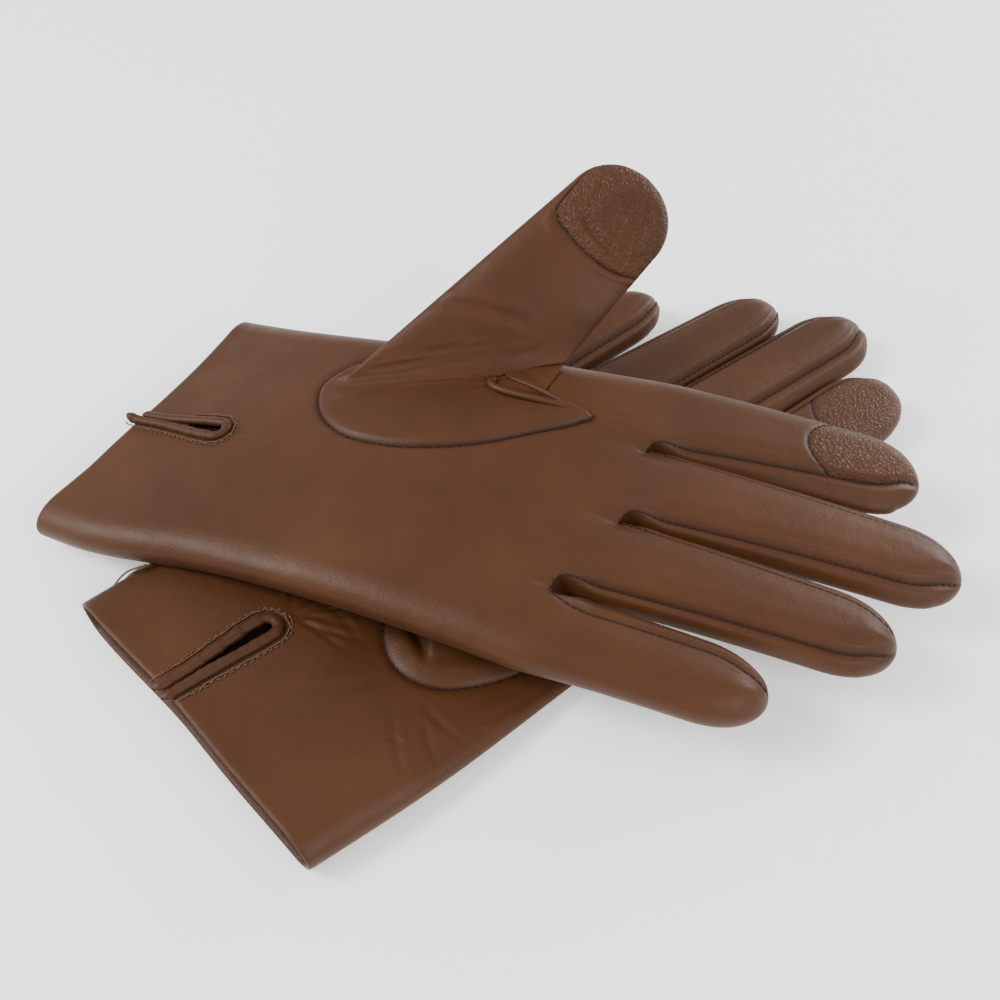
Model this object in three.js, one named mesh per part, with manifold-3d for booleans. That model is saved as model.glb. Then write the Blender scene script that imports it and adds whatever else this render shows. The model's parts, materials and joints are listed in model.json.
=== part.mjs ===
// A pair of leather dress gloves with touchscreen fingertips, lying palm up: the left glove rests
// across the right one, its thumb standing up, and the right thumb is folded flat under it.
// Millimetres, +Z up. +X runs along the left glove from cuff to fingertips, the gloves lie on
// z = 0, and the origin is the centre of the pair's footprint.
//
// Each glove is drawn in its own frame: x from the cuff edge towards the fingertips, y towards
// the thumb, z up from the surface that the back of the hand lies on.
import * as THREE from "three";
import { mergeVertices } from "three/addons/utils/BufferGeometryUtils.js";
import Module from "manifold-3d";

const wasm = await Module();
wasm.setup();

// ---- driving dimensions -----------------------------------------------------------------------
const LEATHER = 1.1; // wall of the outer leather
const LAYER_GAP = 0.3; // clearance between two pieces that touch
const LINING = 0.6; // wall of the knitted lining
const SEAM_GAP = 0.5; // clearance across a seam or a bending line
const GLOVE_LENGTH = 235; // cuff edge to the tip of the middle finger
const KNUCKLE_X = 146; // end of the hand part at the index, middle and ring fingers
const LITTLE_KNUCKLE_X = 138; // and at the little finger
const HEM_WIDTH = 17.5; // turned-in facing at the cuff
const VENT = { length: 32, slit: [-10.6, -7.4], seam: [-13, -5], end: 35.5 };
const BINDING_PROUD = 0.8; // how far the vent's bound edge stands out of the palm
const THUMB_HOLE = { x: 88.5, y: 21, halfLength: 40.5, halfWidth: 19.5, from: 50, to: 127 };
const CREASE = { x: 74, y: 24, angle: 23, halfLength: 25 }; // line that the thumb bends about
const COLLAR_HEIGHT = 5.5; // leather raised around that line
const THREAD_DIAMETER = 0.6;

// Positions in the pair's frame, with the centre of the footprint at the origin.
const CENTRE = [8.3, -9.7];
const LEFT_CUFF = [-108.6 - CENTRE[0], -13.4 - CENTRE[1]];
const RIGHT_CUFF = [-39.5 - CENTRE[0], -101.9 - CENTRE[1]];
const RIGHT_ANGLE = 64.1; // from the left glove's length to the right glove's

const rad = THREE.MathUtils.degToRad;
const lerp = THREE.MathUtils.lerp;
const smooth = THREE.MathUtils.smoothstep;

// A piecewise straight function through [x, value] stops.
const through = (stops) => (x) => {
  if (x <= stops[0][0]) return stops[0][1];
  for (let i = 1; i < stops.length; i += 1) {
    const [x0, v0] = stops[i - 1];
    const [x1, v1] = stops[i];
    if (x <= x1) return lerp(v0, v1, (x - x0) / (x1 - x0));
  }
  return stops[stops.length - 1][1];
};

// Each finger: middle of its base across the hand, lean towards the thumb in degrees, length,
// width and, where it bends above the knuckle instead of at it, the share of its length there.
// crotchStep is where the hand's end steps back between the ring and the little finger.
const GLOVES = {
  left: {
    thumbEdge: through([[0, 43], [40, 42], [80, 45.5], [115, 49.5], [146, 55]]),
    outerEdge: through([[0, -51], [16, -53], [60, -51], [146, -51]]),
    thickness: through([[0, 12], [40, 12.5], [70, 13], [146, 13]]),
    fingers: {
      index: { y: 41, lean: 7, length: 73, width: 27 },
      middle: { y: 14, lean: 5.5, length: 88, width: 25.4 },
      ring: { y: -12.5, lean: 4.5, length: 76.5, width: 24.6 },
      little: { y: -38.6, lean: 3.5, length: 59, width: 23.6 },
    },
    crotchStep: [-26.6, -24.9],
    quirk: { corners: [[102, 33], [127, 29.5], [113, 42]], above: 2.6 },
  },
  right: {
    thumbEdge: through([[0, 49], [30, 51.5], [80, 52], [146, 51.5]]),
    outerEdge: through([[0, -50], [30, -50], [146, -51]]),
    thickness: through([[0, 12], [30, 11], [50, 9], [129, 9], [139, 12.5]]),
    fingers: {
      index: { y: 37.6, lean: 0.5, length: 74, width: 26.6, bend: 0.63 },
      middle: { y: 9.6, lean: 3.5, length: 89, width: 25, bend: 0.49 },
      ring: { y: -14.9, lean: 5, length: 76.5, width: 22.6, bend: 0.41 },
      little: { y: -39, lean: 2, length: 59, width: 22.6, bend: 0.4 },
    },
    crotchStep: [-27.5, -26.3],
    quirk: { corners: [[104, 38], [126, 36.8], [114, 43]], above: 0.5 },
  },
};
const FINGER_THICKNESS = 12.5;
const FINGER_TAPER = 0.1;
const TIP_ROUND = 17; // length over which a fingertip's outline closes
const TIP_PINCH = 9; // and over which its thickness does
const TIP_ALLOWANCE = 2.5; // a layer stops this many times its depth short of the tip, for the turned seam
const FOURCHETTE_END = 0.84; // share of the finger's length where its side strips end
const PATCH = { from: 0.7, to: 0.98 }; // touch patch on the index finger

// The raised left thumb: a flattened tube on the crease, in the plane that leans up from the palm.
const FLAP = { angle: 46, tip: [61, 47], tipHalfWidth: 16, base: 9, thickness: 9, baseThickness: 7 };
// The folded right thumb, flat on the palm.
const FOLDED = { base: [60, 22], tip: [129, 18], halfWidth: 15, thickness: 5, z: 9.4 };

// How far the left glove is lifted where it lies over the right one.
const drape = (x) => {
  const t = x / GLOVE_LENGTH;
  return 5.5 + 10.5 * Math.sin(Math.PI * t) + 6 * (t - 0.5);
};

const toPair = {
  left: ([x, y, z]) => [LEFT_CUFF[0] + x, LEFT_CUFF[1] + y, z + drape(x)],
  right: ([x, y, z]) => {
    const c = Math.cos(rad(RIGHT_ANGLE));
    const s = Math.sin(rad(RIGHT_ANGLE));
    return [RIGHT_CUFF[0] + x * c + y * s, RIGHT_CUFF[1] + x * s - y * c, z];
  },
};

// ---- surfaces ---------------------------------------------------------------------------------
const ROUNDNESS = 0.77;
const power = (v) => Math.sign(v) * Math.abs(v) ** ROUNDNESS;
// Section of a flattened leather tube at an angle from the thumb side over the palm: shares of
// its half width and half thickness. The underside is flat.
const section = (phi) => [
  power(Math.cos(phi)),
  Math.max(-1, power(Math.sin(phi)) * (Math.sin(phi) < 0 ? 1.32 : 1)),
];

function handWidths(glove, x) {
  const hi = glove.thumbEdge(x);
  const lo = glove.outerEdge(x);
  return { middle: (hi + lo) / 2, half: (hi - lo) / 2 };
}

function handPoint(glove, x, phi, depth) {
  const { middle, half } = handWidths(glove, x);
  const [across, up] = section(phi);
  const thick = glove.thickness(x) / 2;
  return [x, middle + (half - depth) * across, thick + (thick - depth) * up];
}

// Section angle of the palm surface at a distance y across the hand.
function palmAngle(glove, x, y) {
  const { middle, half } = handWidths(glove, x);
  const share = THREE.MathUtils.clamp((y - middle) / half, -1, 1);
  return Math.acos(Math.sign(share) * Math.abs(share) ** (1 / ROUNDNESS));
}
const palmHeight = (glove, x, y) => handPoint(glove, x, palmAngle(glove, x, y), 0)[2];

// Share of a finger's or thumb's full width or thickness left at a share s of its length.
function closing(s, length, round) {
  const start = 1 - round / length;
  return s <= start ? 1 : Math.sqrt(Math.max(0, 1 - ((s - start) / (1 - start)) ** 2));
}

const baseX = (name, finger) =>
  (name === "little" ? LITTLE_KNUCKLE_X : KNUCKLE_X) +
  SEAM_GAP +
  (finger.width / 2) * Math.sin(rad(finger.lean));

function fingerPoint(name, finger, s, phi, depth) {
  const along = s * (finger.length - TIP_ALLOWANCE * depth);
  const taper = (1 - FINGER_TAPER * s) * closing(s, finger.length, TIP_ROUND);
  const halfWidth = (finger.width / 2 - depth) * taper;
  const halfThick = (FINGER_THICKNESS / 2 - depth) * closing(s, finger.length, TIP_PINCH);
  const [across, up] = section(phi);
  const c = Math.cos(rad(finger.lean));
  const n = Math.sin(rad(finger.lean));
  const side = halfWidth * across;
  return [
    baseX(name, finger) + along * c - side * n,
    finger.y + along * n + side * c,
    FINGER_THICKNESS / 2 + halfThick * up,
  ];
}

// ---- solids -----------------------------------------------------------------------------------
// A closed geometry from points and faces, welded, with its faces turned outwards.
function closedGeometry(points, faces) {
  const ids = new Map();
  const kept = [];
  const weld = points.map((p) => {
    const key = p.map((v) => v.toFixed(4)).join();
    if (!ids.has(key)) ids.set(key, kept.push(p) - 1);
    return ids.get(key);
  });
  const index = [];
  let volume = 0;
  for (const face of faces) {
    const [a, b, c] = face.map((i) => weld[i]);
    if (a === b || b === c || a === c) continue;
    index.push(a, b, c);
    const [p, q, r] = [a, b, c].map((i) => new THREE.Vector3(...kept[i]));
    volume += p.dot(q.cross(r));
  }
  if (volume < 0) index.reverse();
  const geometry = new THREE.BufferGeometry();
  geometry.setAttribute("position", new THREE.Float32BufferAttribute(kept.flat(), 3));
  geometry.setIndex(index);
  geometry.computeVertexNormals();
  return geometry;
}

// A sheet of leather as a grid of cells between an outer and an inner surface. at(i, j, inner)
// gives a grid point, and keep(i, j) says which cells are there, so that a sheet can have windows.
function sheet({ rows, columns, closed = false, keep = () => true, at }) {
  const across = closed ? columns : columns + 1;
  const wrap = (j) => (closed ? (j + columns) % columns : j);
  const points = [];
  for (let i = 0; i <= rows; i += 1)
    for (let j = 0; j < across; j += 1) points.push(at(i, j, false), at(i, j, true));
  const id = (i, j, inner) => (i * across + wrap(j)) * 2 + inner;
  const there = (i, j) =>
    i >= 0 && i < rows && (closed || (j >= 0 && j < columns)) && keep(i, wrap(j));
  const faces = [];
  const quad = (a, b, c, d) => faces.push([a, b, c], [a, c, d]);
  const wall = (a, b) => quad(id(...a, 0), id(...b, 0), id(...b, 1), id(...a, 1));
  for (let i = 0; i < rows; i += 1)
    for (let j = 0; j < columns; j += 1) {
      if (!there(i, j)) continue;
      const [a, b, c, d] = [[i, j], [i + 1, j], [i + 1, j + 1], [i, j + 1]];
      quad(id(...a, 0), id(...b, 0), id(...c, 0), id(...d, 0));
      quad(id(...a, 1), id(...d, 1), id(...c, 1), id(...b, 1));
      if (!there(i - 1, j)) wall(a, d);
      if (!there(i + 1, j)) wall(c, b);
      if (!there(i, j - 1)) wall(b, a);
      if (!there(i, j + 1)) wall(d, c);
    }
  return closedGeometry(points, faces);
}

// Joins closed geometries that overlap into one solid.
function join(geometries) {
  const solids = geometries.map((geometry) => {
    const plain = geometry.clone();
    plain.deleteAttribute("normal");
    const merged = mergeVertices(plain, 1e-4);
    return new wasm.Manifold(
      new wasm.Mesh({
        numProp: 3,
        vertProperties: merged.attributes.position.array,
        triVerts: new Uint32Array(merged.index.array),
      }),
    );
  });
  const mesh = solids.reduce((a, b) => a.add(b)).getMesh();
  const geometry = new THREE.BufferGeometry();
  geometry.setAttribute("position", new THREE.BufferAttribute(mesh.vertProperties, 3));
  geometry.setIndex(new THREE.BufferAttribute(mesh.triVerts, 1));
  geometry.computeVertexNormals();
  return geometry;
}

// ---- the hand ---------------------------------------------------------------------------------
const HAND_STATIONS = [
  ...[0, 10, 18, 27, VENT.end],
  ...[THUMB_HOLE.from, 60, 74, 88, 102, 116, THUMB_HOLE.to],
  ...[139, KNUCKLE_X],
];
const THUMB_ROWS = [5, 10]; // first and last row of cells over the thumb hole
const THUMB_COLUMNS = [2, 3];
const VENT_ROWS = [0, 3];
const VENT_COLUMN = 5;
const UNDER_ANGLES = [270, 290, 315, 342].map(rad);
const UNDER_OUTER_ANGLE = rad(198);

// Section angles of the hand's grid lines at a station: over the palm they follow the thumb
// hole and the vent, and under the hand they are evenly spread.
function handLines(glove, x) {
  const { x: hx, y: hy, halfLength, halfWidth } = THUMB_HOLE;
  const bulge = Math.sqrt(Math.max(0.09, 1 - ((x - hx) / halfLength) ** 2));
  const past = smooth(x, VENT.end, VENT.end + 14);
  const toStep = smooth(x, THUMB_HOLE.to, THUMB_HOLE.to + 10);
  const { middle, half } = handWidths(glove, x);
  const [back, front] = glove.crotchStep;
  const ys = [
    middle + 0.97 * half,
    hy + halfWidth * bulge,
    hy,
    hy - halfWidth * bulge,
    lerp(VENT.seam[1], -8, past),
    lerp(lerp(VENT.seam[0], -20, past), front, toStep),
    lerp(middle - 0.6 * half, back, toStep),
    middle - 0.9 * half,
  ];
  const over = ys.map((y) => palmAngle(glove, x, y));
  const under = [back, front].map((y) => 2 * Math.PI - palmAngle(glove, x, y));
  return [0, ...over, Math.PI, UNDER_OUTER_ANGLE, ...under, ...UNDER_ANGLES];
}

// The hand part ends further back at the little finger.
function stationX(glove, x, y) {
  if (x <= THUMB_HOLE.to) return x;
  const end = lerp(LITTLE_KNUCKLE_X, KNUCKLE_X, smooth(y, ...glove.crotchStep));
  return THUMB_HOLE.to + ((x - THUMB_HOLE.to) * (end - THUMB_HOLE.to)) / (KNUCKLE_X - THUMB_HOLE.to);
}

function handTube(side, stations, depths, open) {
  const glove = GLOVES[side];
  const lines = stations.map((x) => handLines(glove, x));
  return sheet({
    rows: stations.length - 1,
    columns: lines[0].length,
    closed: true,
    keep: (i, j) => !open(stations[i], j),
    at: (i, j, inner) => {
      const surface = handPoint(glove, stations[i], lines[i][j], 0);
      const p = handPoint(glove, stations[i], lines[i][j], depths[Number(inner)]);
      return toPair[side]([stationX(glove, stations[i], surface[1]), p[1], p[2]]);
    },
  });
}

const overThumb = (x, j) =>
  x >= HAND_STATIONS[THUMB_ROWS[0]] && x <= HAND_STATIONS[THUMB_ROWS[1]] && THUMB_COLUMNS.includes(j);
const overVent = (x, j) => x <= HAND_STATIONS[VENT_ROWS[1]] && j === VENT_COLUMN;
const LINING_DEPTHS = [LEATHER + LAYER_GAP, LEATHER + LAYER_GAP + LINING];

const handLeather = (side) =>
  handTube(side, HAND_STATIONS, [0, LEATHER], (x, j) => overThumb(x, j) || overVent(x, j));

function handLining(side) {
  const stations = [HEM_WIDTH + SEAM_GAP, ...HAND_STATIONS.slice(3, -1), KNUCKLE_X - 1.8];
  return handTube(side, stations, LINING_DEPTHS, (x, j) => overThumb(x, j) || overVent(x, j));
}

const cuffFacing = (side) =>
  handTube(side, [0.5, 9, HEM_WIDTH], [LEATHER + LAYER_GAP, LEATHER + LAYER_GAP + 0.8], overVent);

// The bound edge of the vent: a U of rolled leather around the slit.
function ventBinding(side) {
  const glove = GLOVES[side];
  const xs = [-1.5, 11, 22, VENT.length, VENT.end - LAYER_GAP];
  const ys = [VENT.seam[1] - LAYER_GAP, VENT.slit[1], VENT.slit[0], VENT.seam[0] + LAYER_GAP];
  return sheet({
    rows: xs.length - 1,
    columns: ys.length - 1,
    keep: (i, j) => j !== 1 || xs[i] >= VENT.length,
    at: (i, j, inner) => {
      const depth = inner ? LEATHER : -BINDING_PROUD;
      return toPair[side](handPoint(glove, xs[i], palmAngle(glove, xs[i], ys[j]), depth));
    },
  });
}

// ---- the fingers ------------------------------------------------------------------------------
const SIDE_ANGLE = 38; // the side strips span this many degrees above and below the middle
const FINGER_ANGLES = [-38, 0, 38, 64, 90, 116, 142, 180, 218, 244, 270, 296].map(rad);
const THUMB_SIDE_COLUMNS = [0, 1];
const OUTER_SIDE_COLUMNS = [6, 7];
const PATCH_COLUMNS = [2, 3, 4, 5];
const LINING_ANGLES = [-45, 0, 45, 90, 135, 180, 225, 270].map(rad);
const STATIONS = [0, 0.14, 0.3, 0.5, PATCH.from, FOURCHETTE_END, 0.93, PATCH.to, 1];

// Which sides of each finger have a fourchette: the sides that face another finger.
const STRIP_SIDES = {
  index: ["outer"],
  middle: ["thumb", "outer"],
  ring: ["thumb", "outer"],
  little: ["thumb"],
};

// The stations from one share of the length to another.
const stretch = (from, to) => [from, ...STATIONS.filter((s) => s > from + 0.03 && s < to - 0.03), to];

function fingerLeather(side, name, from = 0, to = 1) {
  const finger = GLOVES[side].fingers[name];
  const stations = stretch(from, to);
  const strips = STRIP_SIDES[name].flatMap((s) => (s === "thumb" ? THUMB_SIDE_COLUMNS : OUTER_SIDE_COLUMNS));
  const patched = name === "index" ? PATCH_COLUMNS : [];
  return sheet({
    rows: stations.length - 1,
    columns: FINGER_ANGLES.length,
    closed: true,
    keep: (i, j) =>
      !(strips.includes(j) && stations[i] < FOURCHETTE_END) &&
      !(patched.includes(j) && stations[i] >= PATCH.from && stations[i] < PATCH.to),
    at: (i, j, inner) =>
      toPair[side](fingerPoint(name, finger, stations[i], FINGER_ANGLES[j], inner ? LEATHER : 0)),
  });
}

function fingerLining(side, name, from = 0, to = 1) {
  const finger = GLOVES[side].fingers[name];
  const between = [0.3, 0.6, FOURCHETTE_END, 0.95].filter((s) => s > from + 0.1 && s < to - 0.01);
  const stations = [from, ...between, to];
  return sheet({
    rows: stations.length - 1,
    columns: LINING_ANGLES.length,
    closed: true,
    at: (i, j, inner) =>
      toPair[side](
        fingerPoint(name, finger, stations[i], LINING_ANGLES[j], LINING_DEPTHS[Number(inner)] + 0.25),
      ),
  });
}

// A fourchette: the strip that forms one side of a finger.
function fourchette(side, name, facing, from = 0, to = FOURCHETTE_END) {
  const finger = GLOVES[side].fingers[name];
  const stations = stretch(from, to);
  if (to === FOURCHETTE_END) stations[stations.length - 1] -= LAYER_GAP / finger.length;
  const middle = facing === "thumb" ? 0 : 180;
  const inset = 2.5;
  const angles = [-SIDE_ANGLE + inset, 0, SIDE_ANGLE - inset].map((a) => rad(middle + a));
  return sheet({
    rows: stations.length - 1,
    columns: 2,
    at: (i, j, inner) =>
      toPair[side](fingerPoint(name, finger, stations[i], angles[j], inner ? LEATHER : 0)),
  });
}

// A forked fourchette: the two strips of one gap between fingers, joined at the crotch.
function forkedFourchette(side, outerName, thumbName) {
  const glove = GLOVES[side];
  const [a, b] = [glove.fingers[thumbName], glove.fingers[outerName]];
  const near = fingerPoint(thumbName, a, 0.04, Math.PI, LEATHER / 2);
  const far = fingerPoint(outerName, b, outerName === "little" ? 0.19 : 0.04, 0, LEATHER / 2);
  const web = sheet({
    rows: 1,
    columns: 1,
    at: (i, j, inner) =>
      toPair[side]([
        near[0] + (i ? 3 : 0),
        inner ? far[1] : near[1],
        FINGER_THICKNESS / 2 + (j ? 2.5 : -2.5),
      ]),
  });
  return join([
    fourchette(side, thumbName, "outer", 0, a.bend),
    fourchette(side, outerName, "thumb", 0, b.bend),
    web,
  ]);
}

// The touch patch set into the tip of the index finger.
function indexPatch(side) {
  const finger = GLOVES[side].fingers.index;
  const inset = LAYER_GAP / finger.length;
  const stations = [PATCH.from + inset, FOURCHETTE_END, 0.93, PATCH.to - inset];
  const angles = [40.5, 64, 90, 116, 139.5].map(rad);
  return sheet({
    rows: stations.length - 1,
    columns: angles.length - 1,
    at: (i, j, inner) =>
      toPair[side](fingerPoint("index", finger, stations[i], angles[j], inner ? LEATHER : 0)),
  });
}

// ---- the thumbs -------------------------------------------------------------------------------
const creaseAlong = [Math.cos(rad(CREASE.angle)), Math.sin(rad(CREASE.angle))];
const onCrease = (u, v) => [
  CREASE.x + u * creaseAlong[0] - v * creaseAlong[1],
  CREASE.y + u * creaseAlong[1] + v * creaseAlong[0],
];

const SLOT_HALF_LENGTH = CREASE.halfLength - 4;
const SLOT_HALF_WIDTH = 4.5;

// The thumb leather's base: an oval sewn into the palm's hole, with a slot on the crease that
// opens into the thumb. Round the left thumb it rises as a collar.
function thumbBase(side, collar) {
  const glove = GLOVES[side];
  const turn = 20;
  const rings = [0, 0.5, 1];
  return sheet({
    rows: rings.length - 1,
    columns: turn,
    closed: true,
    at: (i, j, inner) => {
      const a = (j / turn) * 2 * Math.PI;
      const oval = [
        THUMB_HOLE.x + (THUMB_HOLE.halfLength - 3.5) * Math.cos(a),
        THUMB_HOLE.y + (THUMB_HOLE.halfWidth - 1.4) * Math.sin(a),
      ];
      const b = a - rad(CREASE.angle);
      const slot = onCrease(SLOT_HALF_LENGTH * Math.cos(b), SLOT_HALF_WIDTH * Math.sin(b));
      const x = lerp(oval[0], slot[0], rings[i]);
      const y = lerp(oval[1], slot[1], rings[i]);
      const rise = collar * smooth(rings[i], 0.2, 1);
      return toPair[side]([x, y, palmHeight(glove, x, y) + rise - (inner ? LEATHER : 0)]);
    },
  });
}

const THUMB_STATIONS = [0, 0.12, 0.28, 0.45, 0.62, 0.76, 0.87, 0.95, 0.985, 1];
const THUMB_PATCH_ROWS = [5, 7];

const CREASE_HEIGHT = palmHeight(GLOVES.left, CREASE.x, CREASE.y) + drape(CREASE.x) + 0.2;

// The raised thumb, from just above the crease to its tip. The flap leans at FLAP.angle.
function flapPoint(s, phi, depth) {
  const [tu, tv] = FLAP.tip;
  const length = Math.hypot(tu, tv) + FLAP.tipHalfWidth - depth;
  const direction = [tu / Math.hypot(tu, tv), tv / Math.hypot(tu, tv)];
  const blend = smooth(s, 0, 0.35);
  const closed = closing(s, length, 19);
  const half = (lerp(CREASE.halfLength - 2, FLAP.tipHalfWidth, smooth(s, 0, 0.5)) - depth) * closed;
  const thick = (lerp(FLAP.baseThickness, FLAP.thickness, blend) / 2 - depth) * closing(s, length, 9);
  const [across, up] = [power(Math.cos(phi)), power(Math.sin(phi))];
  // Across the flap, sections turn from along the crease to square across the thumb.
  const square = new THREE.Vector2(direction[1], -direction[0]);
  const wide = new THREE.Vector2(1, 0).lerp(square, blend).normalize();
  const u = direction[0] * length * s + wide.x * half * across;
  const v = FLAP.base * (1 - s) + direction[1] * length * s + wide.y * half * across;
  const lift = rad(FLAP.angle);
  const out = thick * up;
  const [x, y] = onCrease(u, v * Math.cos(lift) - out * Math.sin(lift));
  return [LEFT_CUFF[0] + x, LEFT_CUFF[1] + y, CREASE_HEIGHT + v * Math.sin(lift) + out * Math.cos(lift)];
}

// The folded thumb: a flat sleeve on the right palm.
function foldedPoint(s, phi, depth) {
  const [bx, by] = FOLDED.base;
  const [dx, dy] = [FOLDED.tip[0] - bx, FOLDED.tip[1] - by];
  const length = Math.hypot(dx, dy);
  const along = s * (length - depth);
  const half = (FOLDED.halfWidth - depth) * (1 - 0.08 * s) * closing(s, length, 17);
  const thick = (FOLDED.thickness / 2 - depth) * closing(s, length, 6);
  const side = half * power(Math.cos(phi));
  return toPair.right([
    bx + (along * dx - side * dy) / length,
    by + (along * dy + side * dx) / length,
    FOLDED.z + FOLDED.thickness / 2 + thick * power(Math.sin(phi)),
  ]);
}

function thumbLeather(point) {
  return sheet({
    rows: THUMB_STATIONS.length - 1,
    columns: FINGER_ANGLES.length,
    closed: true,
    keep: (i, j) => !(PATCH_COLUMNS.includes(j) && i >= THUMB_PATCH_ROWS[0] && i <= THUMB_PATCH_ROWS[1]),
    at: (i, j, inner) => point(THUMB_STATIONS[i], FINGER_ANGLES[j], inner ? LEATHER - 0.2 : 0),
  });
}

function thumbPatch(point) {
  const stations = THUMB_STATIONS.slice(THUMB_PATCH_ROWS[0], THUMB_PATCH_ROWS[1] + 2);
  stations[0] += 0.005;
  stations[stations.length - 1] -= 0.005;
  const angles = [41, 64, 90, 116, 139].map(rad);
  return sheet({
    rows: stations.length - 1,
    columns: angles.length - 1,
    at: (i, j, inner) => point(stations[i], angles[j], inner ? LEATHER - 0.2 : 0),
  });
}

function thumbLining(point) {
  const stations = [...THUMB_STATIONS.slice(0, 5), 0.87, 0.97, 1];
  return sheet({
    rows: stations.length - 1,
    columns: LINING_ANGLES.length,
    closed: true,
    at: (i, j, inner) => point(stations[i], LINING_ANGLES[j], inner ? LEATHER + 0.9 : LEATHER + 0.5),
  });
}

// The quirk: a small triangular gusset beside the thumb's root.
function quirk(side) {
  const glove = GLOVES[side];
  const { corners: [a, b, c], above } = glove.quirk;
  const corner = (i, j) =>
    [0, 1].map((k) => lerp(lerp(a[k], b[k], i / 2), lerp(c[k], b[k], i / 2), j / 2));
  return sheet({
    rows: 2,
    columns: 2,
    at: (i, j, inner) => {
      const [x, y] = corner(i, j);
      return toPair[side]([x, y, palmHeight(glove, x, y) + above + (inner ? 0 : 1)]);
    },
  });
}

// ---- the thread that ties the pair ------------------------------------------------------------
// It leaves the left glove's side seam, loops at the right glove's cuff and comes back beside itself.
const THREAD_ROUTE = [
  [-73.2, -66.3, 11.8], [-75.4, -67.4, 10.4], [-77.6, -68.2, 8.6], [-79.7, -68.8, 6.4], [-81.4, -69.4, 4.2],
  [-82.6, -70.2, 2.8], [-83.2, -71.3, 2.6], [-83.2, -72.1, 3.6], [-82.5, -71.7, 5], [-81.2, -70.6, 6.9],
  [-79.6, -69.9, 8.8], [-77.7, -69.3, 10.5], [-75.4, -68.5, 11.9], [-73.4, -67.6, 12.9],
].map(([x, y, z]) => new THREE.Vector3(x - CENTRE[0], y - CENTRE[1], z));

function pairThread() {
  const turn = new THREE.Shape();
  turn.absarc(0, 0, THREAD_DIAMETER / 2, 0, 2 * Math.PI);
  const path = new THREE.CatmullRomCurve3(THREAD_ROUTE);
  return new THREE.ExtrudeGeometry(turn, { extrudePath: path, steps: 24, curveSegments: 2 });
}

// ---- the pair ---------------------------------------------------------------------------------
const brown = (roughness) => new THREE.MeshStandardMaterial({ color: "#6b432c", roughness, metalness: 0 });
const leather = brown(0.42);
const edgeLeather = new THREE.MeshStandardMaterial({ color: "#5a3724", roughness: 0.5, metalness: 0 });
const touchLeather = new THREE.MeshStandardMaterial({ color: "#6f4730", roughness: 0.36, metalness: 0 });
const liningKnit = new THREE.MeshStandardMaterial({ color: "#3b2619", roughness: 0.9, metalness: 0 });
const thread = new THREE.MeshStandardMaterial({ color: "#4a3a24", roughness: 0.6, metalness: 0 });

const pair = new THREE.Group();
function add(name, geometry, material) {
  const mesh = new THREE.Mesh(geometry, material);
  mesh.name = name;
  pair.add(mesh);
}

const FINGER_NAMES = ["index", "middle", "ring", "little"];

for (const side of ["left", "right"]) {
  add(`${side}_cuff_facing`, cuffFacing(side), edgeLeather);
  add(`${side}_vent_binding`, ventBinding(side), edgeLeather);
  add(`${side}_thumb_base`, thumbBase(side, side === "left" ? COLLAR_HEIGHT : 0), leather);
  add(`${side}_thumb_quirk`, quirk(side), leather);
  add(`${side}_index_touch_patch`, indexPatch(side), touchLeather);
  const point = side === "left" ? flapPoint : foldedPoint;
  add(`${side}_thumb`, thumbLeather(point), leather);
  add(`${side}_thumb_touch_patch`, thumbPatch(point), touchLeather);
  add(`${side}_thumb_lining`, thumbLining(point), liningKnit);
}

// Left glove: each finger bends at its knuckle.
add("left_trank", handLeather("left"), leather);
add("left_lining", handLining("left"), liningKnit);
for (const name of FINGER_NAMES) {
  add(`left_${name}_finger`, fingerLeather("left", name), leather);
  add(`left_${name}_lining`, fingerLining("left", name), liningKnit);
  for (const facing of STRIP_SIDES[name])
    add(`left_${name}_fourchette_${facing}_side`, fourchette("left", name, facing), leather);
}

// Right glove: its knuckles lie under the left glove, so the hand and the first part of each
// finger are one piece, and each finger bends where it comes out from under the left glove.
const ROOT = -0.02; // how far a finger's root runs into the hand, as a share of its length
const rightFingers = GLOVES.right.fingers;
add(
  "right_trank",
  join([
    handLeather("right"),
    ...FINGER_NAMES.map((name) => fingerLeather("right", name, ROOT, rightFingers[name].bend)),
  ]),
  leather,
);
add("right_lining", handLining("right"), liningKnit);
add("right_fourchette_index_middle", forkedFourchette("right", "middle", "index"), leather);
add("right_fourchette_middle_ring", forkedFourchette("right", "ring", "middle"), leather);
add("right_fourchette_ring_little", forkedFourchette("right", "little", "ring"), leather);
for (const name of FINGER_NAMES) {
  const from = rightFingers[name].bend + SEAM_GAP / rightFingers[name].length;
  add(`right_${name}_fingertip`, fingerLeather("right", name, from), leather);
  add(`right_${name}_lining`, fingerLining("right", name, 0, rightFingers[name].bend), liningKnit);
  add(`right_${name}_fingertip_lining`, fingerLining("right", name, from), liningKnit);
  for (const facing of STRIP_SIDES[name])
    add(`right_${name}_fourchette_${facing}_side`, fourchette("right", name, facing, from), leather);
}

add("pair_thread", pairThread(), thread);

export default pair;
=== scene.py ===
"""A pair of brown leather dress gloves with touchscreen fingertips, lying palm up.

Each glove is built from its real pieces: the trank (hand and finger panels), fourchettes between
the fingers, thumb, quirk, touch patches, bound vent, turned cuff, lining and stitches. Every piece
is first worked out in its glove's own frame, in millimetres: x from the cuff edge towards the
fingertips, y towards the thumb, z up. to_pair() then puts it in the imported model's frame, in metres.
"""
import json
import math

import bmesh
import bpy
import numpy as np
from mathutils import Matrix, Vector, kdtree

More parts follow.
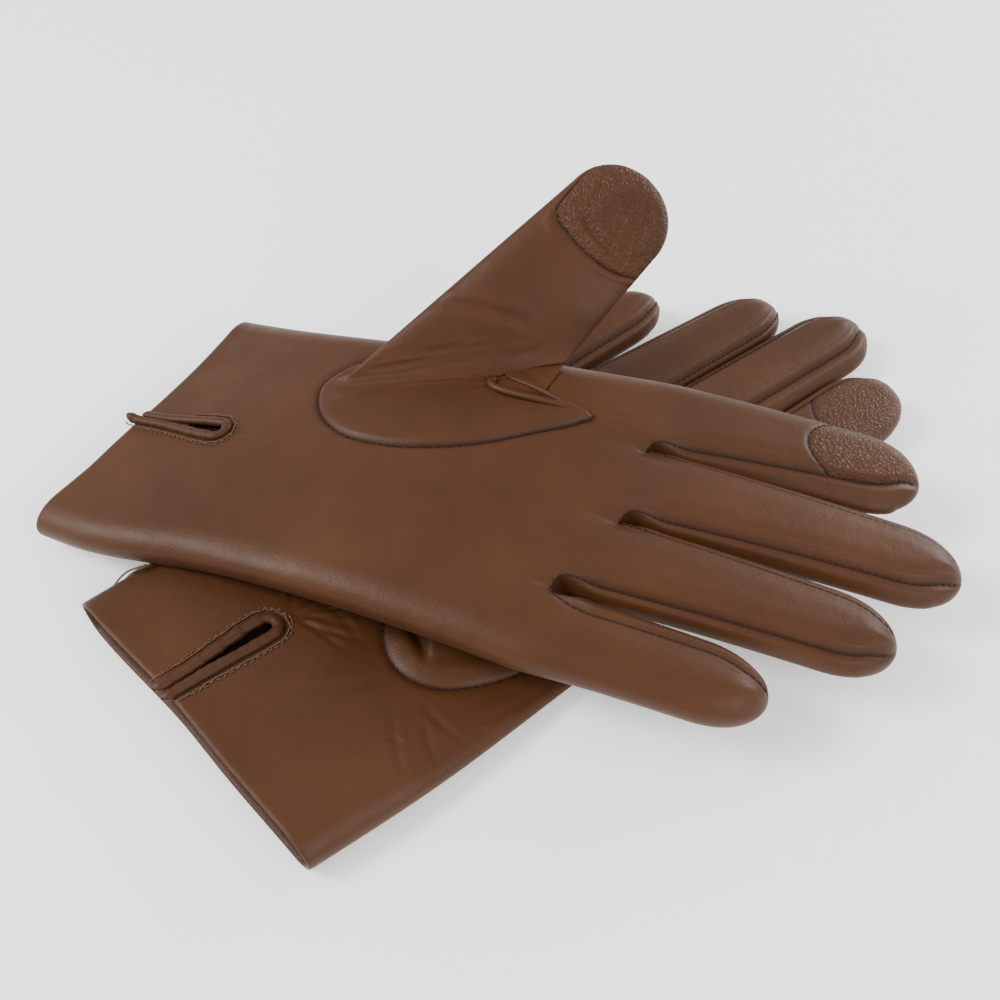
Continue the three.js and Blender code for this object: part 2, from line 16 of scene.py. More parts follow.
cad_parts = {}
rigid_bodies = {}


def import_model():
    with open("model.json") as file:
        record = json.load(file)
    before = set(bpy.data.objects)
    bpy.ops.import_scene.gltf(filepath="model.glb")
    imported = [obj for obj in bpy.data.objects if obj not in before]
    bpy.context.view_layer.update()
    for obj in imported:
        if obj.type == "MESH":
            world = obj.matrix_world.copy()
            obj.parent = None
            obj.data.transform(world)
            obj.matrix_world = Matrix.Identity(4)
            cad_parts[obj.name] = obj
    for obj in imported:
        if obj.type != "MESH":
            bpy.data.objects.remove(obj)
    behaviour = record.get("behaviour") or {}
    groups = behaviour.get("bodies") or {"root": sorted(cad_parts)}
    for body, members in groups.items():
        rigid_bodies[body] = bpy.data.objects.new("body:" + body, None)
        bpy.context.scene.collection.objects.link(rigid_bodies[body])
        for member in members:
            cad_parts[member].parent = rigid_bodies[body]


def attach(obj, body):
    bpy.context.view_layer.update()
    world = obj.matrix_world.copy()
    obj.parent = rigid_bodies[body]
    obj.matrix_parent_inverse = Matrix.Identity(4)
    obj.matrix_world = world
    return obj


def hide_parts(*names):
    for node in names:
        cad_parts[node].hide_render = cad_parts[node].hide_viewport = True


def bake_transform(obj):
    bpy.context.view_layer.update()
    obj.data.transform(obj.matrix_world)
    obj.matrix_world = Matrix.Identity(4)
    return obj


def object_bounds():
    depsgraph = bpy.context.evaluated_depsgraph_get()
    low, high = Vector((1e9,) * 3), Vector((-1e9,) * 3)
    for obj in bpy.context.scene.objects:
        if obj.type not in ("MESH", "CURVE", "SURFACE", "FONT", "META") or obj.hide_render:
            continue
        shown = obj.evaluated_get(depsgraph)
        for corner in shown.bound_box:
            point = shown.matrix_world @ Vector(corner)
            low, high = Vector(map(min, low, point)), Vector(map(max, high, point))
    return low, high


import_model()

cad_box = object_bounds()

# ---- driving dimensions, in millimetres ---------------------------------------------------------
GLOVE_LENGTH = 235
HEM = 17.5  # depth of the leather turned in at the cuff
TURN = 1.3  # thickness of the turned edge
FOLD_RADIUS = 9.0  # how far in from a folded edge the leather reaches its full height
SEAM_DEPTH = 0.8
SEAM_WIDTH = 0.9
GROOVE_WIDTH = 0.6  # how far the painted shade of a seam round a thumb reaches
VALLEY = 2.4  # how far the palm dips at the crotch between two fingers
FINGER_THICKNESS = 12.5
FINGER_TAPER = 0.1
TIP_ROUND = 17
TIP_PINCH = 9
HOOK = 9  # length of the rounded end of a gap between two fingers
STITCH = {"pitch": 2.0, "length": 1.45, "radius": 0.24}
THREAD_DIAMETER = 0.6
VENT = {"middle": -9.0, "offset": 3.1, "length": 31.5, "half_width": 1.6}
CREASE = {"x": 74, "y": 24, "angle": math.radians(23)}  # where the raised thumb turns up from the palm
FOLDED = {"base": (60, 22), "tip": (129, 18), "half_width": 15, "thickness": 5, "z": 9.4}  # the right thumb
LIP = 0.5  # how far the thumb's leather stands above the palm at its seam

# Where each glove's cuff lies in the pair, and how the right glove is turned.
CENTRE = (8.3, -9.7)
LEFT_CUFF = (-108.6 - CENTRE[0], -13.4 - CENTRE[1])
RIGHT_CUFF = (-39.5 - CENTRE[0], -101.9 - CENTRE[1])
RIGHT_ANGLE = math.radians(64.1)


def smooth(v, start, end):
    """Rises gently from 0 at start to 1 at end."""
    t = np.clip((np.asarray(v, float) - start) / (end - start), 0, 1)
    return t * t * (3 - 2 * t)


def through(stops):
    """A smooth curve through (x, value) stops."""
    xs, values = np.array(stops, float).T
    slopes = np.gradient(values, xs)

    def value(x):
        x = np.clip(x, xs[0], xs[-1])
        i = np.clip(np.searchsorted(xs, x) - 1, 0, len(xs) - 2)
        h = xs[i + 1] - xs[i]
        t = (x - xs[i]) / h
        return (
            (2 * t**3 - 3 * t**2 + 1) * values[i]
            + (t**3 - 2 * t**2 + t) * h * slopes[i]
            + (3 * t**2 - 2 * t**3) * values[i + 1]
            + (t**3 - t**2) * h * slopes[i + 1]
        )

    return value


# The fingers from the outer side of the hand to the thumb side: the middle of the base, the lean
# towards the thumb in degrees, length, width, and where the right ones bend, as a share.
ORDER = ("little", "ring", "middle", "index")
GLOVES = {
    "left": {
        "thumb_edge": through([(0, 43), (40, 42), (80, 45.5), (115, 49.5), (150, 55)]),
        "outer_edge": through([(0, -51), (16, -53), (60, -51), (150, -51)]),
        "thickness": through([(0, 12), (40, 12.5), (70, 13), (150, 13)]),
        "fingers": {
            "little": {"y": -38.6, "lean": 3.5, "length": 59, "width": 23.6},
            "ring": {"y": -12.5, "lean": 4.5, "length": 76.5, "width": 24.6},
            "middle": {"y": 14, "lean": 5.5, "length": 88, "width": 25.4},
            "index": {"y": 41, "lean": 7, "length": 73, "width": 27},
        },
    },
    "right": {
        "thumb_edge": through([(0, 49), (30, 51.5), (80, 52), (150, 51.2)]),
        "outer_edge": through([(0, -50), (30, -50), (150, -50.6)]),
        "thickness": through([(0, 12), (30, 11), (50, 9), (129, 9), (142, 12.5), (150, 12.5)]),
        "fingers": {
            "little": {"y": -39, "lean": 2, "length": 59, "width": 22.6, "bend": 0.4},
            "ring": {"y": -14.9, "lean": 5, "length": 76.5, "width": 22.6, "bend": 0.41},
            "middle": {"y": 9.6, "lean": 3.5, "length": 89, "width": 25, "bend": 0.49},
            "index": {"y": 37.6, "lean": 0.5, "length": 74, "width": 26.6, "bend": 0.63},
        },
    },
}
# Ends of the gaps between the fingers, from the outer side, and the sides of each finger that have a
# fourchette: how far its seam lies in from the finger's side near the hand and near the tip, and how
# much the strip stands out past that side.
GLOVES["left"]["gaps"] = [(139.8, -28.3), (148.6, -3.2), (147.2, 23.6)]
GLOVES["left"]["strips"] = {
    ("little", 1): (6.0, 4.4, 0.4),
    ("ring", -1): (1.2, 3.2, 0.7),
    ("ring", 1): (1.9, 3.0, 0.4),
    ("middle", -1): (0.6, 3.8, 1.0),
    ("middle", 1): (1.9, 3.0, 0.4),
    ("index", -1): (0.8, 6.4, 1.4),
}
GLOVES["right"]["gaps"] = [(139.4, -27.2), (146.8, -3.3), (147.2, 23.3)]
GLOVES["right"]["strips"] = {
    ("little", 1): (2.2, 3.0, 0.4),
    ("ring", -1): (1.9, 2.4, 0.3),
    ("ring", 1): (0.6, 1.2, 0.5),
    ("middle", -1): (1.9, 2.4, 0.3),
    ("middle", 1): (5.5, 4.6, 0.5),
    ("index", -1): (1.9, 2.4, 0.4),
}
KNUCKLE = {"little": 138.5, "ring": 146.5, "middle": 146.5, "index": 146.5}
for side, glove in GLOVES.items():
    glove["side"] = side
    for name, finger in glove["fingers"].items():
        lean = math.radians(finger["lean"])
        finger["along"] = np.array([math.cos(lean), math.sin(lean)])
        finger["across"] = np.array([-math.sin(lean), math.cos(lean)])
        x = KNUCKLE[name] + finger["width"] / 2 * math.sin(lean)
        finger["base"] = np.array([x, finger["y"]])


def drape(x):
    """How high the left glove lies at x, over the right one."""
    t = x / GLOVE_LENGTH
    return 5.5 + 10.5 * np.sin(np.pi * t) + 6 * (t - 0.5)


def to_pair(side, points):
    """Points in a glove's own frame, in millimetres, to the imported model's frame, in metres."""
    p = np.asarray(points, float)
    x, y, z = p[..., 0], p[..., 1], p[..., 2]
    if side == "left":
        height = z + drape(x)
        # The cuff's edge is askew, its vent and outer corner are drawn aside, and the index is shorter.
        skew = 7.8 * smooth(y, -52, 32) - 2.6 * smooth(-y, 28, 50)
        drawn = 2.2 * smooth(y, -18, 2) * smooth(-y, -34, -14) + 2.5 * smooth(-y, 22, 48)
        y_placed = y - drawn * (1 - smooth(x, 0, 50))
        x = x + skew * (1 - smooth(x, 0, 48)) - 1.6 * smooth(x, 150, 215) * smooth(y, 30, 44)
        placed = (LEFT_CUFF[0] + x, LEFT_CUFF[1] + y_placed, height)
    else:
        c, s = math.cos(RIGHT_ANGLE), math.sin(RIGHT_ANGLE)
        # The cuff's edge is askew, and the fingers are longer and lean towards the thumb.
        skew = -2.5 * smooth(-y, 0, 45) + 1.0 * smooth(y, 10, 50)
        stretched = smooth(x, 125, 215)
        x = x + skew * (1 - smooth(x, 0, 60)) + (3.4 + 1.4 * smooth(y, -10, 20)) * stretched
        y = y + 2.2 * stretched * smooth(y, -5, 40)
        placed = (RIGHT_CUFF[0] + x * c + y * s, RIGHT_CUFF[1] + x * s - y * c, z)
    return np.stack(placed, -1) / 1000


# ---- small shapes of the leather ----------------------------------------------------------------
CLOUD_CELLS = 61  # cells after which the noise repeats


def cloud(x, y, size, seed):
    """Smooth seeded noise, about -1 to 1, with features of the given size."""
    table = np.random.default_rng(seed).uniform(-1, 1, (CLOUD_CELLS, CLOUD_CELLS))
    u, v = np.asarray(x) / size, np.asarray(y) / size
    i, j = np.floor(u).astype(int), np.floor(v).astype(int)
    a, b = smooth(u - i, 0, 1), smooth(v - j, 0, 1)
    i, k = i % CLOUD_CELLS, (i + 1) % CLOUD_CELLS
    j, m = j % CLOUD_CELLS, (j + 1) % CLOUD_CELLS
    near = table[i, j] * (1 - a) + table[k, j] * a
    far = table[i, m] * (1 - a) + table[k, m] * a
    return near * (1 - b) + far * b


def crease(x, y, stroke):
    """Depth at (x, y) of one wrinkle: a bowed line that fades out at both ends."""
    x0, y0, x1, y1, bow, depth, width = stroke
    t = np.linspace(0, 1, 13)
    length = math.hypot(x1 - x0, y1 - y0)
    across = ((y0 - y1) / length, (x1 - x0) / length)
    px = x0 + (x1 - x0) * t + bow * across[0] * np.sin(np.pi * t)
    py = y0 + (y1 - y0) * t + bow * across[1] * np.sin(np.pi * t)
    nearest = np.full(np.shape(x), 1e9)
    share = np.zeros(np.shape(x))
    for k in range(len(t) - 1):
        dx, dy = px[k + 1] - px[k], py[k + 1] - py[k]
        f = np.clip(((x - px[k]) * dx + (y - py[k]) * dy) / (dx * dx + dy * dy), 0, 1)
        d = np.hypot(x - px[k] - f * dx, y - py[k] - f * dy)
        share = np.where(d < nearest, (k + f) / (len(t) - 1), share)
        nearest = np.minimum(nearest, d)
    line = np.exp(-((nearest / width) ** 2)) - 0.45 * np.exp(-(((nearest - 1.9 * width) / width) ** 2))
    return depth * line * np.sin(np.pi * np.clip(share, 0, 1)) ** 0.6


def fan(x, y, start, end, count, length, seed, depth=0.16, width=0.5):
    """Wrinkles that spread from (x, y) between two headings in degrees."""
    random = np.random.default_rng(seed)
    strokes = []
    for heading in np.radians(np.linspace(start, end, count)):
        heading += random.uniform(-0.07, 0.07)
        reach = length * random.uniform(0.6, 1.2)
        off = random.uniform(0.5, 2.5)
        c, n = math.cos(heading), math.sin(heading)
        bow = random.uniform(-1, 1)
        deep = depth * random.uniform(0.5, 1.2)
        strokes.append((x + off * c, y + off * n, x + reach * c, y + reach * n, bow, deep, width))
    return strokes


# Wrinkles in each palm: from (x, y) to (x, y), bow, depth and width.
WRINKLES = {
    "left": [
        (130, 29, 147, 26.5, 0.6, 0.30, 0.6),
        (131, 32, 146, 31, 0.8, 0.18, 0.5),
        (133, 36, 150, 35, 1, 0.12, 0.5),
        (128, 26, 140, 22, -0.6, 0.14, 0.5),
        (147, -5, 139, -9, 0.4, 0.18, 0.4),
        (139, -29, 131, -31, 0.4, 0.14, 0.4),
        (37, -9, 48, -10, 0.8, 0.2, 0.8),
        (60, -4, 92, -8, 2.5, 0.12, 1.6),
        (104, -2, 126, 8, -2, 0.12, 1.4),
        *fan(147, 23.6, 150, 215, 6, 9, 3, 0.10, 0.4),
        *fan(148, -3.2, 150, 215, 6, 9, 4, 0.10, 0.4),
        *fan(139, -28.3, 150, 215, 6, 9, 5, 0.10, 0.4),
        *fan(130, 28.6, -30, 60, 7, 14, 6, 0.12, 0.45),
    ],
    "right": [
        *fan(36, -9, -70, 75, 13, 20, 7, 0.46, 0.7),
        (38, -20, 62, -30, 3, 0.28, 1.4),
        (39, 31, 29.5, 48, 0.8, 0.36, 0.9),
        (33, 35, 35, 42, -0.5, 0.25, 0.7),
        (43.5, 38, 38, 51, 1.0, 0.36, 0.9),
        (46, 34, 47, 48, 0.6, 0.25, 0.9),
        (42.6, -13, 45, 10, -2.5, 0.3, 0.9),
        (52, 46, 78, 49, 1, 0.2, 1.0),
        (20, 8, 44, 22, 2, 0.14, 1.6),
    ],
}


def relief(side, x, y):
    """How far the palm's surface lies above its plain form; nothing at the hand's two side folds."""
    height = 0.30 * cloud(x + 40, y + 80, 26, 11 if side == "left" else 12) + 0.10 * cloud(x, y, 9, 13)
    for stroke in WRINKLES[side]:
        height = height - crease(x, y, stroke)
    inside = np.minimum(y - GLOVES[side]["outer_edge"](x), GLOVES[side]["thumb_edge"](x) - y)
    return height * smooth(inside, 0, 5)


# ---- meshes ---------------------------------------------------------------------------------------
WELD_DISTANCE = 0.00002  # metres


def add_mesh(name, points, faces, material, grooves=None):
    """A smooth mesh object; grooves is how much of each point lies in a seam, which sets how much painted
    shade darkens it.
    """
    mesh = bpy.data.meshes.new(name)
    mesh.from_pydata(np.asarray(points).reshape(-1, 3).tolist(), [], faces)
    mesh.validate()
    mesh.shade_smooth()
    # The groove attribute carries the painted seam shade to the leather's colour.
    if grooves is not None:
        mesh.attributes.new("groove", "FLOAT", "POINT").data.foreach_set(
            "value", np.asarray(grooves, np.float32).ravel()
        )
    mesh.materials.append(material)
    piece = bpy.data.objects.new(name, mesh)
    bpy.context.scene.collection.objects.link(piece)
    return piece


def grid_faces(rows, columns, closed=False, keep=None, flip=False, offset=0):
    """Quads of a grid of rows x columns points; keep is a mask over its cells."""
    last = columns if closed else columns - 1
    i, j = np.meshgrid(np.arange(rows - 1), np.arange(last), indexing="ij")
    k = (j + 1) % columns
    quads = np.stack([i * columns + j, (i + 1) * columns + j, (i + 1) * columns + k, i * columns + k], -1)
    if keep is not None:
        quads = quads[keep]
    quads = quads.reshape(-1, 4) + offset
    return quads[:, ::-1].tolist() if flip else quads.tolist()


class Shell:
    """Grids that are welded into one mesh where their points meet."""

    def __init__(self):
        self.points, self.grooves, self.faces, self.count = [], [], [], 0

    def add(self, points, grooves=None, closed=False, keep=None, flip=False):
        rows, columns = points.shape[:2]
        self.faces += grid_faces(rows, columns, closed, keep, flip, self.count)
        self.points.append(points.reshape(-1, 3))
        self.grooves.append(np.zeros(rows * columns) if grooves is None else np.asarray(grooves).ravel())
        self.count += rows * columns

    def build(self, name, side, material):
        points = to_pair(side, np.concatenate(self.points))
        piece = add_mesh(name, points, self.faces, material, np.concatenate(self.grooves))
        welded = bmesh.new()
        welded.from_mesh(piece.data)
        bmesh.ops.remove_doubles(welded, verts=welded.verts, dist=WELD_DISTANCE)
        loose = [v for v in welded.verts if not v.link_faces]
        bmesh.ops.delete(welded, geom=loose, context="VERTS")
        welded.to_mesh(piece.data)
        welded.free()
        piece.data.shade_smooth()
        return piece


# ---- materials -----------------------------------------------------------------------------------
def node_material(name, roughness):
    """A new material with its nodes, links and shader, and the point it is evaluated at."""
    material = bpy.data.materials.new(name)
    material.use_nodes = True
    nodes, links = material.node_tree.nodes, material.node_tree.links
    shader = nodes["Principled BSDF"]
    shader.inputs["Roughness"].default_value = roughness
    place = nodes.new("ShaderNodeTexCoord").outputs["Object"]
    return material, nodes, links, shader, place


def noise(nodes, links, place, scale, detail):
    """A noise texture's value."""
    texture = nodes.new("ShaderNodeTexNoise")
    texture.inputs["Scale"].default_value = scale
    texture.inputs["Detail"].default_value = detail
    links.new(place, texture.inputs["Vector"])
    return texture.outputs["Fac"]


def ramp(nodes, links, value, stops):
    """The colour at a value, from (position, colour) stops."""
    node = nodes.new("ShaderNodeValToRGB")
    links.new(value, node.inputs["Fac"])
    elements = node.color_ramp.elements
    for element, (position, colour) in zip(elements, (stops[0], stops[-1])):
        element.position, element.color = position, (*colour, 1)
    for position, colour in stops[1:-1]:
        elements.new(position).color = (*colour, 1)
    return node.outputs["Color"]


def bump(nodes, links, height, distance, strength, before=None):
    """A normal bumped by a height, on top of the bump before it."""
    node = nodes.new("ShaderNodeBump")
    node.inputs["Distance"].default_value = distance
    node.inputs["Strength"].default_value = strength
    links.new(height, node.inputs["Height"])
    if before is not None:
        links.new(before, node.inputs["Normal"])
    return node.outputs["Normal"]


def leather(name, dark, light, roughness=0.46, crackle=0.35, cell_scale=1350, cell_depth=0.00016):
    """Fine nappa leather: soft colour clouds, pebbled grain, fine cells of creases, and painted shade that
    darkens its seams.
    """
    material, nodes, links, shader, place = node_material(name, roughness)
    clouds = noise(nodes, links, place, 38, 4)
    colour = ramp(nodes, links, clouds, [(0.3, dark), (0.7, light)])
    # Painted shade: the groove attribute darkens the colour in the seams, as if they lay in shade.
    groove = nodes.new("ShaderNodeAttribute")
    groove.attribute_name = "groove"
    seam = ramp(nodes, links, groove.outputs["Fac"], [(0.15, (1, 1, 1)), (1, (0.3, 0.24, 0.2))])
    mix = nodes.new("ShaderNodeMix")
    mix.data_type, mix.blend_type = "RGBA", "MULTIPLY"
    mix.inputs[0].default_value = 1
    links.new(colour, mix.inputs[6])
    links.new(seam, mix.inputs[7])
    links.new(mix.outputs[2], shader.inputs["Base Color"])
    rough = nodes.new("ShaderNodeMapRange")
    rough.inputs["To Min"].default_value = roughness - 0.07
    rough.inputs["To Max"].default_value = roughness + 0.09
    links.new(noise(nodes, links, place, 140, 3), rough.inputs["Value"])
    links.new(rough.outputs["Result"], shader.inputs["Roughness"])
    cells = nodes.new("ShaderNodeTexVoronoi")
    cells.feature = "DISTANCE_TO_EDGE"
    cells.inputs["Scale"].default_value = cell_scale
    links.new(place, cells.inputs["Vector"])
    normal = bump(nodes, links, noise(nodes, links, place, 330, 5), 0.0004, crackle)
    normal = bump(nodes, links, cells.outputs["Distance"], cell_depth, 0.4, normal)
    normal = bump(nodes, links, noise(nodes, links, place, 2600, 2), 0.00008, 0.35, normal)
    links.new(normal, shader.inputs["Normal"])
    shader.inputs["Specular IOR Level"].default_value = 0.2
    shader.inputs["Sheen Weight"].default_value = 0.02
    shader.inputs["Sheen Roughness"].default_value = 0.4
    shader.inputs["Sheen Tint"].default_value = (0.9, 0.78, 0.72, 1)
    return material


def knit(name):
    """Brushed knit lining, near black: partly its own dark colour, partly painted shade of the glove's dark
    inside.
    """
    material, nodes, links, shader, place = node_material(name, 0.95)
    fluff = noise(nodes, links, place, 900, 4)
    # Near-black colour: partly the lining's own colour, partly painted shade of the glove's dark inside.
    colour = ramp(nodes, links, fluff, [(0.3, (0.008, 0.004, 0.002)), (0.7, (0.018, 0.009, 0.005))])
    links.new(colour, shader.inputs["Base Color"])
    rows = nodes.new("ShaderNodeTexWave")
    rows.inputs["Scale"].default_value = 260
    rows.inputs["Distortion"].default_value = 2
    links.new(place, rows.inputs["Vector"])
    links.new(bump(nodes, links, rows.outputs["Fac"], 0.0004, 0.6), shader.inputs["Normal"])
    shader.inputs["Specular IOR Level"].default_value = 0.1
    return material


def twisted(name, dark, light, roughness):
    """Twisted sewing thread."""
    material, nodes, links, shader, place = node_material(name, roughness)
    strands = nodes.new("ShaderNodeTexWave")
    strands.bands_direction = "DIAGONAL"
    strands.inputs["Scale"].default_value = 1400
    strands.inputs["Distortion"].default_value = 1
    links.new(place, strands.inputs["Vector"])
    colour = ramp(nodes, links, strands.outputs["Fac"], [(0, dark), (1, light)])
    links.new(colour, shader.inputs["Base Color"])
    links.new(bump(nodes, links, strands.outputs["Fac"], 0.0001, 0.6), shader.inputs["Normal"])
    shader.inputs["Specular IOR Level"].default_value = 0.2
    return material


LEATHER = leather("leather", (0.0480, 0.0165, 0.0050), (0.0640, 0.0225, 0.0072))
PATCH_LEATHER = leather("touch_leather", (0.0510, 0.0176, 0.0054), (0.0670, 0.0238, 0.0078), roughness=0.48,
                        crackle=1.0, cell_scale=820, cell_depth=0.002)
EDGE_LEATHER = leather("edge_leather", (0.0430, 0.0148, 0.0044), (0.0570, 0.0200, 0.0064), roughness=0.5)
KNIT = knit("lining_knit")
SEWING = twisted("sewing_thread", (0.014, 0.005, 0.002), (0.045, 0.017, 0.007), 0.75)
RAGGED = twisted("ragged_thread", (0.05, 0.026, 0.014), (0.16, 0.09, 0.05), 0.7)
BRONZE = twisted("bronze_thread", (0.05, 0.03, 0.015), (0.16, 0.105, 0.05), 0.45)


def place_piece(piece, body=None, blend=None, replaces=()):
    """Bakes a finished piece's transform into its mesh when a blend is given, or else parents it to its body,
    and hides the CAD nodes it stands for.
    """
    if blend:
        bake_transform(piece)
    else:
        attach(piece, body)
    if replaces:
        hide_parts(*replaces)
    return piece


# ---- the hand --------------------------------------------------------------------------------------
def rounded(distance, radius):
    """Share of full height at a distance in from a folded edge."""
    return np.sqrt(np.maximum(0, 1 - (1 - np.clip(distance / radius, 0, 1)) ** 2))


def crotches(glove):
    """The points between two fingers, and the hand's two edges at its end, from the outer side."""
    outer, thumb = glove["outer_edge"](OUTER_END), glove["thumb_edge"](THUMB_END)
    return [(OUTER_END, float(outer)), *glove["gaps"], (THUMB_END, float(thumb))]


OUTER_END, THUMB_END = 138.5, 148  # where the hand's two edges go over into the fingers
HAND_END = 147
COLUMNS = 30  # grid columns across each finger
SPREAD = np.sin(np.linspace(-np.pi / 2, np.pi / 2, COLUMNS + 1))  # closer together near the seams
Q = 0.45 * np.linspace(-1, 1, COLUMNS + 1) + 0.55 * SPREAD
ACROSS = (Q + 1) / 2


def hand_columns(glove):
    """Share across the hand and end station of each grid column."""
    points = crotches(glove)
    (_, lo), (_, hi) = points[0], points[-1]
    shares, ends = [], []
    for (xa, ya), (xb, yb) in zip(points, points[1:]):
        used = None if (xb, yb) == points[-1] else COLUMNS  # the next finger's first column is its last
        y = ya + ACROSS[:used] * (yb - ya)
        shares.append((y - lo) / (hi - lo))
        ends.append(xa + (xb - xa) * ACROSS[:used])
    return np.concatenate(shares), np.concatenate(ends)


def hand_surface(glove, x, share, above, depth=0.0):
    """Points of the hand's leather, or of a layer at a depth inside it."""
    lo = glove["outer_edge"](x) + depth
    hi = glove["thumb_edge"](x) - depth
    y = lo + share * (hi - lo)
    thick = glove["thickness"](x) / 2
    inside = np.minimum(y - lo, hi - y)
    edge = rounded(inside, FOLD_RADIUS)
    crown = 0.9 + 0.1 * (1 - (2 * share - 1) ** 2)
    if above:
        z = thick + (thick - depth) * edge * crown
    else:
        z = thick - (thick - depth) * np.minimum(1, 1.15 * edge)
    points = crotches(glove)
    for xc, yc in points[1:-1]:
        at = (yc - points[0][1]) / (points[-1][1] - points[0][1])
        lateral = y - (lo + at * (hi - lo))
        back = np.maximum(0, xc - x)
        dip = (VALLEY - 0.7) * np.exp(-back / 3.5) + 0.7 * np.exp(-back / 14)
        dip = dip * np.exp(-((lateral / (2.6 + 0.12 * back)) ** 2))
        z = z - dip if above else z + 0.7 * dip
    return np.stack([x, y, z], -1)


def palm_height(glove, x, y):
    """Height of the palm's leather, wrinkles and all."""
    return back_height(glove, x, y, True) + relief(glove["side"], x, y)


def back_height(glove, x, y, above=False):
    """Height of the back's leather, or of the palm's plain form."""
    lo, hi = glove["outer_edge"](x), glove["thumb_edge"](x)
    share = (y - lo) / (hi - lo)
    return hand_surface(glove, x, share, above)[..., 2]


# The seam round the thumb's base: (angle round the thumb in degrees, x, y). On the left glove it
# runs from the root of the quirk to the tip of the base, back along the palm and behind the thumb.
THUMB_SEAM = {
    "left": [
        (0, 129.3, 29.4), (10, 127.5, 25.4), (26, 117, 16.8), (46, 105, 8), (68, 90, 1), (90, 77, -1.6),
        (112, 66.5, -1), (134, 58, 3.4), (156, 53.2, 10), (180, 52, 17), (198, 55, 23.5), (234, 64, 31),
        (270, 76, 36.6), (300, 88, 39.6), (322, 102, 39.6), (338, 111, 36), (349, 116.5, 32.3),
        (355, 122.5, 31),
    ],
    "right": [
        (0, 129, 24), (30, 120, 13), (60, 106, 5), (90, 88, 1.5), (120, 69, 2), (150, 54.5, 7.5),
        (170, 49, 15), (185, 47.6, 22), (205, 50.6, 31), (230, 60.5, 38.4), (255, 74, 42.6), (290, 94, 43),
        (325, 116, 36.5),
    ],
}


def seam_curve(side, angles):
    """Points of the thumb's seam at the given angles round the thumb."""
    stops = np.array(THUMB_SEAM[side], float)
    around = np.concatenate([stops[-3:, 0] - 360, stops[:, 0], stops[:3, 0] + 360])
    repeated = np.concatenate([stops[-3:], stops, stops[:3]])
    angles = np.asarray(angles) % 360
    return np.stack([through(list(zip(around, repeated[:, k])))(angles) for k in (1, 2)], -1)


def oval_distance(side, x, y):
    """Signed distance, outwards, from the seam round the thumb's base."""
    line = seam_curve(side, np.linspace(0, 360, 145))
    nearest = np.full(np.shape(x), 1e9)
    turns = np.zeros(np.shape(x))
    for (x0, y0), (x1, y1) in zip(line, line[1:]):
        dx, dy = x1 - x0, y1 - y0
        f = np.clip(((x - x0) * dx + (y - y0) * dy) / (dx * dx + dy * dy + 1e-12), 0, 1)
        nearest = np.minimum(nearest, np.hypot(x - x0 - f * dx, y - y0 - f * dy))
        crosses = ((y0 <= y) & (y1 > y)) | ((y1 <= y) & (y0 > y))
        hit = x0 + (y - y0) / (dy if abs(dy) > 1e-9 else 1e-9) * dx > x
        turns = turns + (crosses & hit)
    return np.where(turns % 2 == 1, -nearest, nearest)


# The leather turned in at the cuff and round its edge: distance from the cuff, and depth.
TURNED = [
    (HEM, TURN), (12, TURN), (6, TURN), (2, TURN), (0.5, 1.2), (0.12, 0.95), (0, 0.6), (0.12, 0.25),
    (0.5, 0.05),
]
EVEN_END = 60  # up to here the rows run straight across the hand


def whole_cells(mask):
    """The cells of a grid that have all four of their corners in the mask."""
    return mask[:-1, :-1] & mask[1:, :-1] & mask[1:, 1:] & mask[:-1, 1:]


def hand(glove):
    """The palm and the back of the hand in one skin, turned in at the cuff, open at the thumb and vent."""
    side = glove["side"]
    share, end = hand_columns(glove)
    rows = np.array(TURNED + [(x, 0.0) for x in np.linspace(1.2, HAND_END, 168)])
    x, depth = rows[:, :1], rows[:, 1:] * np.ones_like(share)
    fitted = EVEN_END + (x - EVEN_END) * (end - EVEN_END) / (HAND_END - EVEN_END)
    x = np.where(x <= EVEN_END, x, fitted) * np.ones_like(share)
    shell = Shell()
    for above in (True, False):
        p = hand_surface(glove, x, share * np.ones_like(x), above, depth)
        grooves, keep = None, None
        if above:
            d = oval_distance(side, p[..., 0], p[..., 1])
            outside = depth < 0.3
            near = np.exp(-((d / SEAM_WIDTH) ** 2))
            p[..., 2] += np.where(outside, relief(side, p[..., 0], p[..., 1]) * smooth(p[..., 0], 0, 6), 0)
            p[..., 2] -= SEAM_DEPTH * near
            # Painted shade along the seam round the thumb's base.
            grooves = np.exp(-((d / GROOVE_WIDTH) ** 2))
            half_vent = VENT["offset"] * vent_narrowing(side, p[..., 0]) + 0.4
            slit = (p[..., 0] < VENT["length"] + 0.6) & (np.abs(p[..., 1] - VENT["middle"]) < half_vent)
            keep = ~whole_cells(d < -0.8) & ~whole_cells(slit)
        shell.add(p, grooves, keep=keep, flip=not above)
    return shell.build(f"{side}_hand_leather", side, LEATHER)


# ---- the fingers -------------------------------------------------------------------------------------
ROW_STEP = 0.95
TIP_ROWS = 26
STRIP_COLUMNS = 20


def finger_rows(measures):
    """Shares of a finger's length at which its rows lie, closer together towards the tip."""
    straight = 1 - TIP_ROUND / measures["length"]
    first = np.linspace(0, straight, int(measures["length"] * straight / ROW_STEP), endpoint=False)
    return np.concatenate([first, straight + (1 - straight) * np.sin(np.linspace(0, np.pi / 2, TIP_ROWS))])


def closing(s, length, length_of_end):
    """Share of full width at a share of the length; it closes like a quarter circle at the end."""
    start = 1 - length_of_end / length
    return np.sqrt(np.maximum(0, 1 - np.clip((s - start) / (1 - start), 0, 1) ** 2))


def has_strip(name, which):
    """Whether a finger has a fourchette at its outer side (-1) or its thumb side (1)."""
    return (name, which) not in (("little", -1), ("index", 1))


def strip_inset(glove, name, which, share):
    """How far in a fourchette's seam lies, and how far the strip stands out."""
    near, far, proud = glove["strips"][name, which]
    return near + (far - near) * np.clip(share, 0, 1), proud


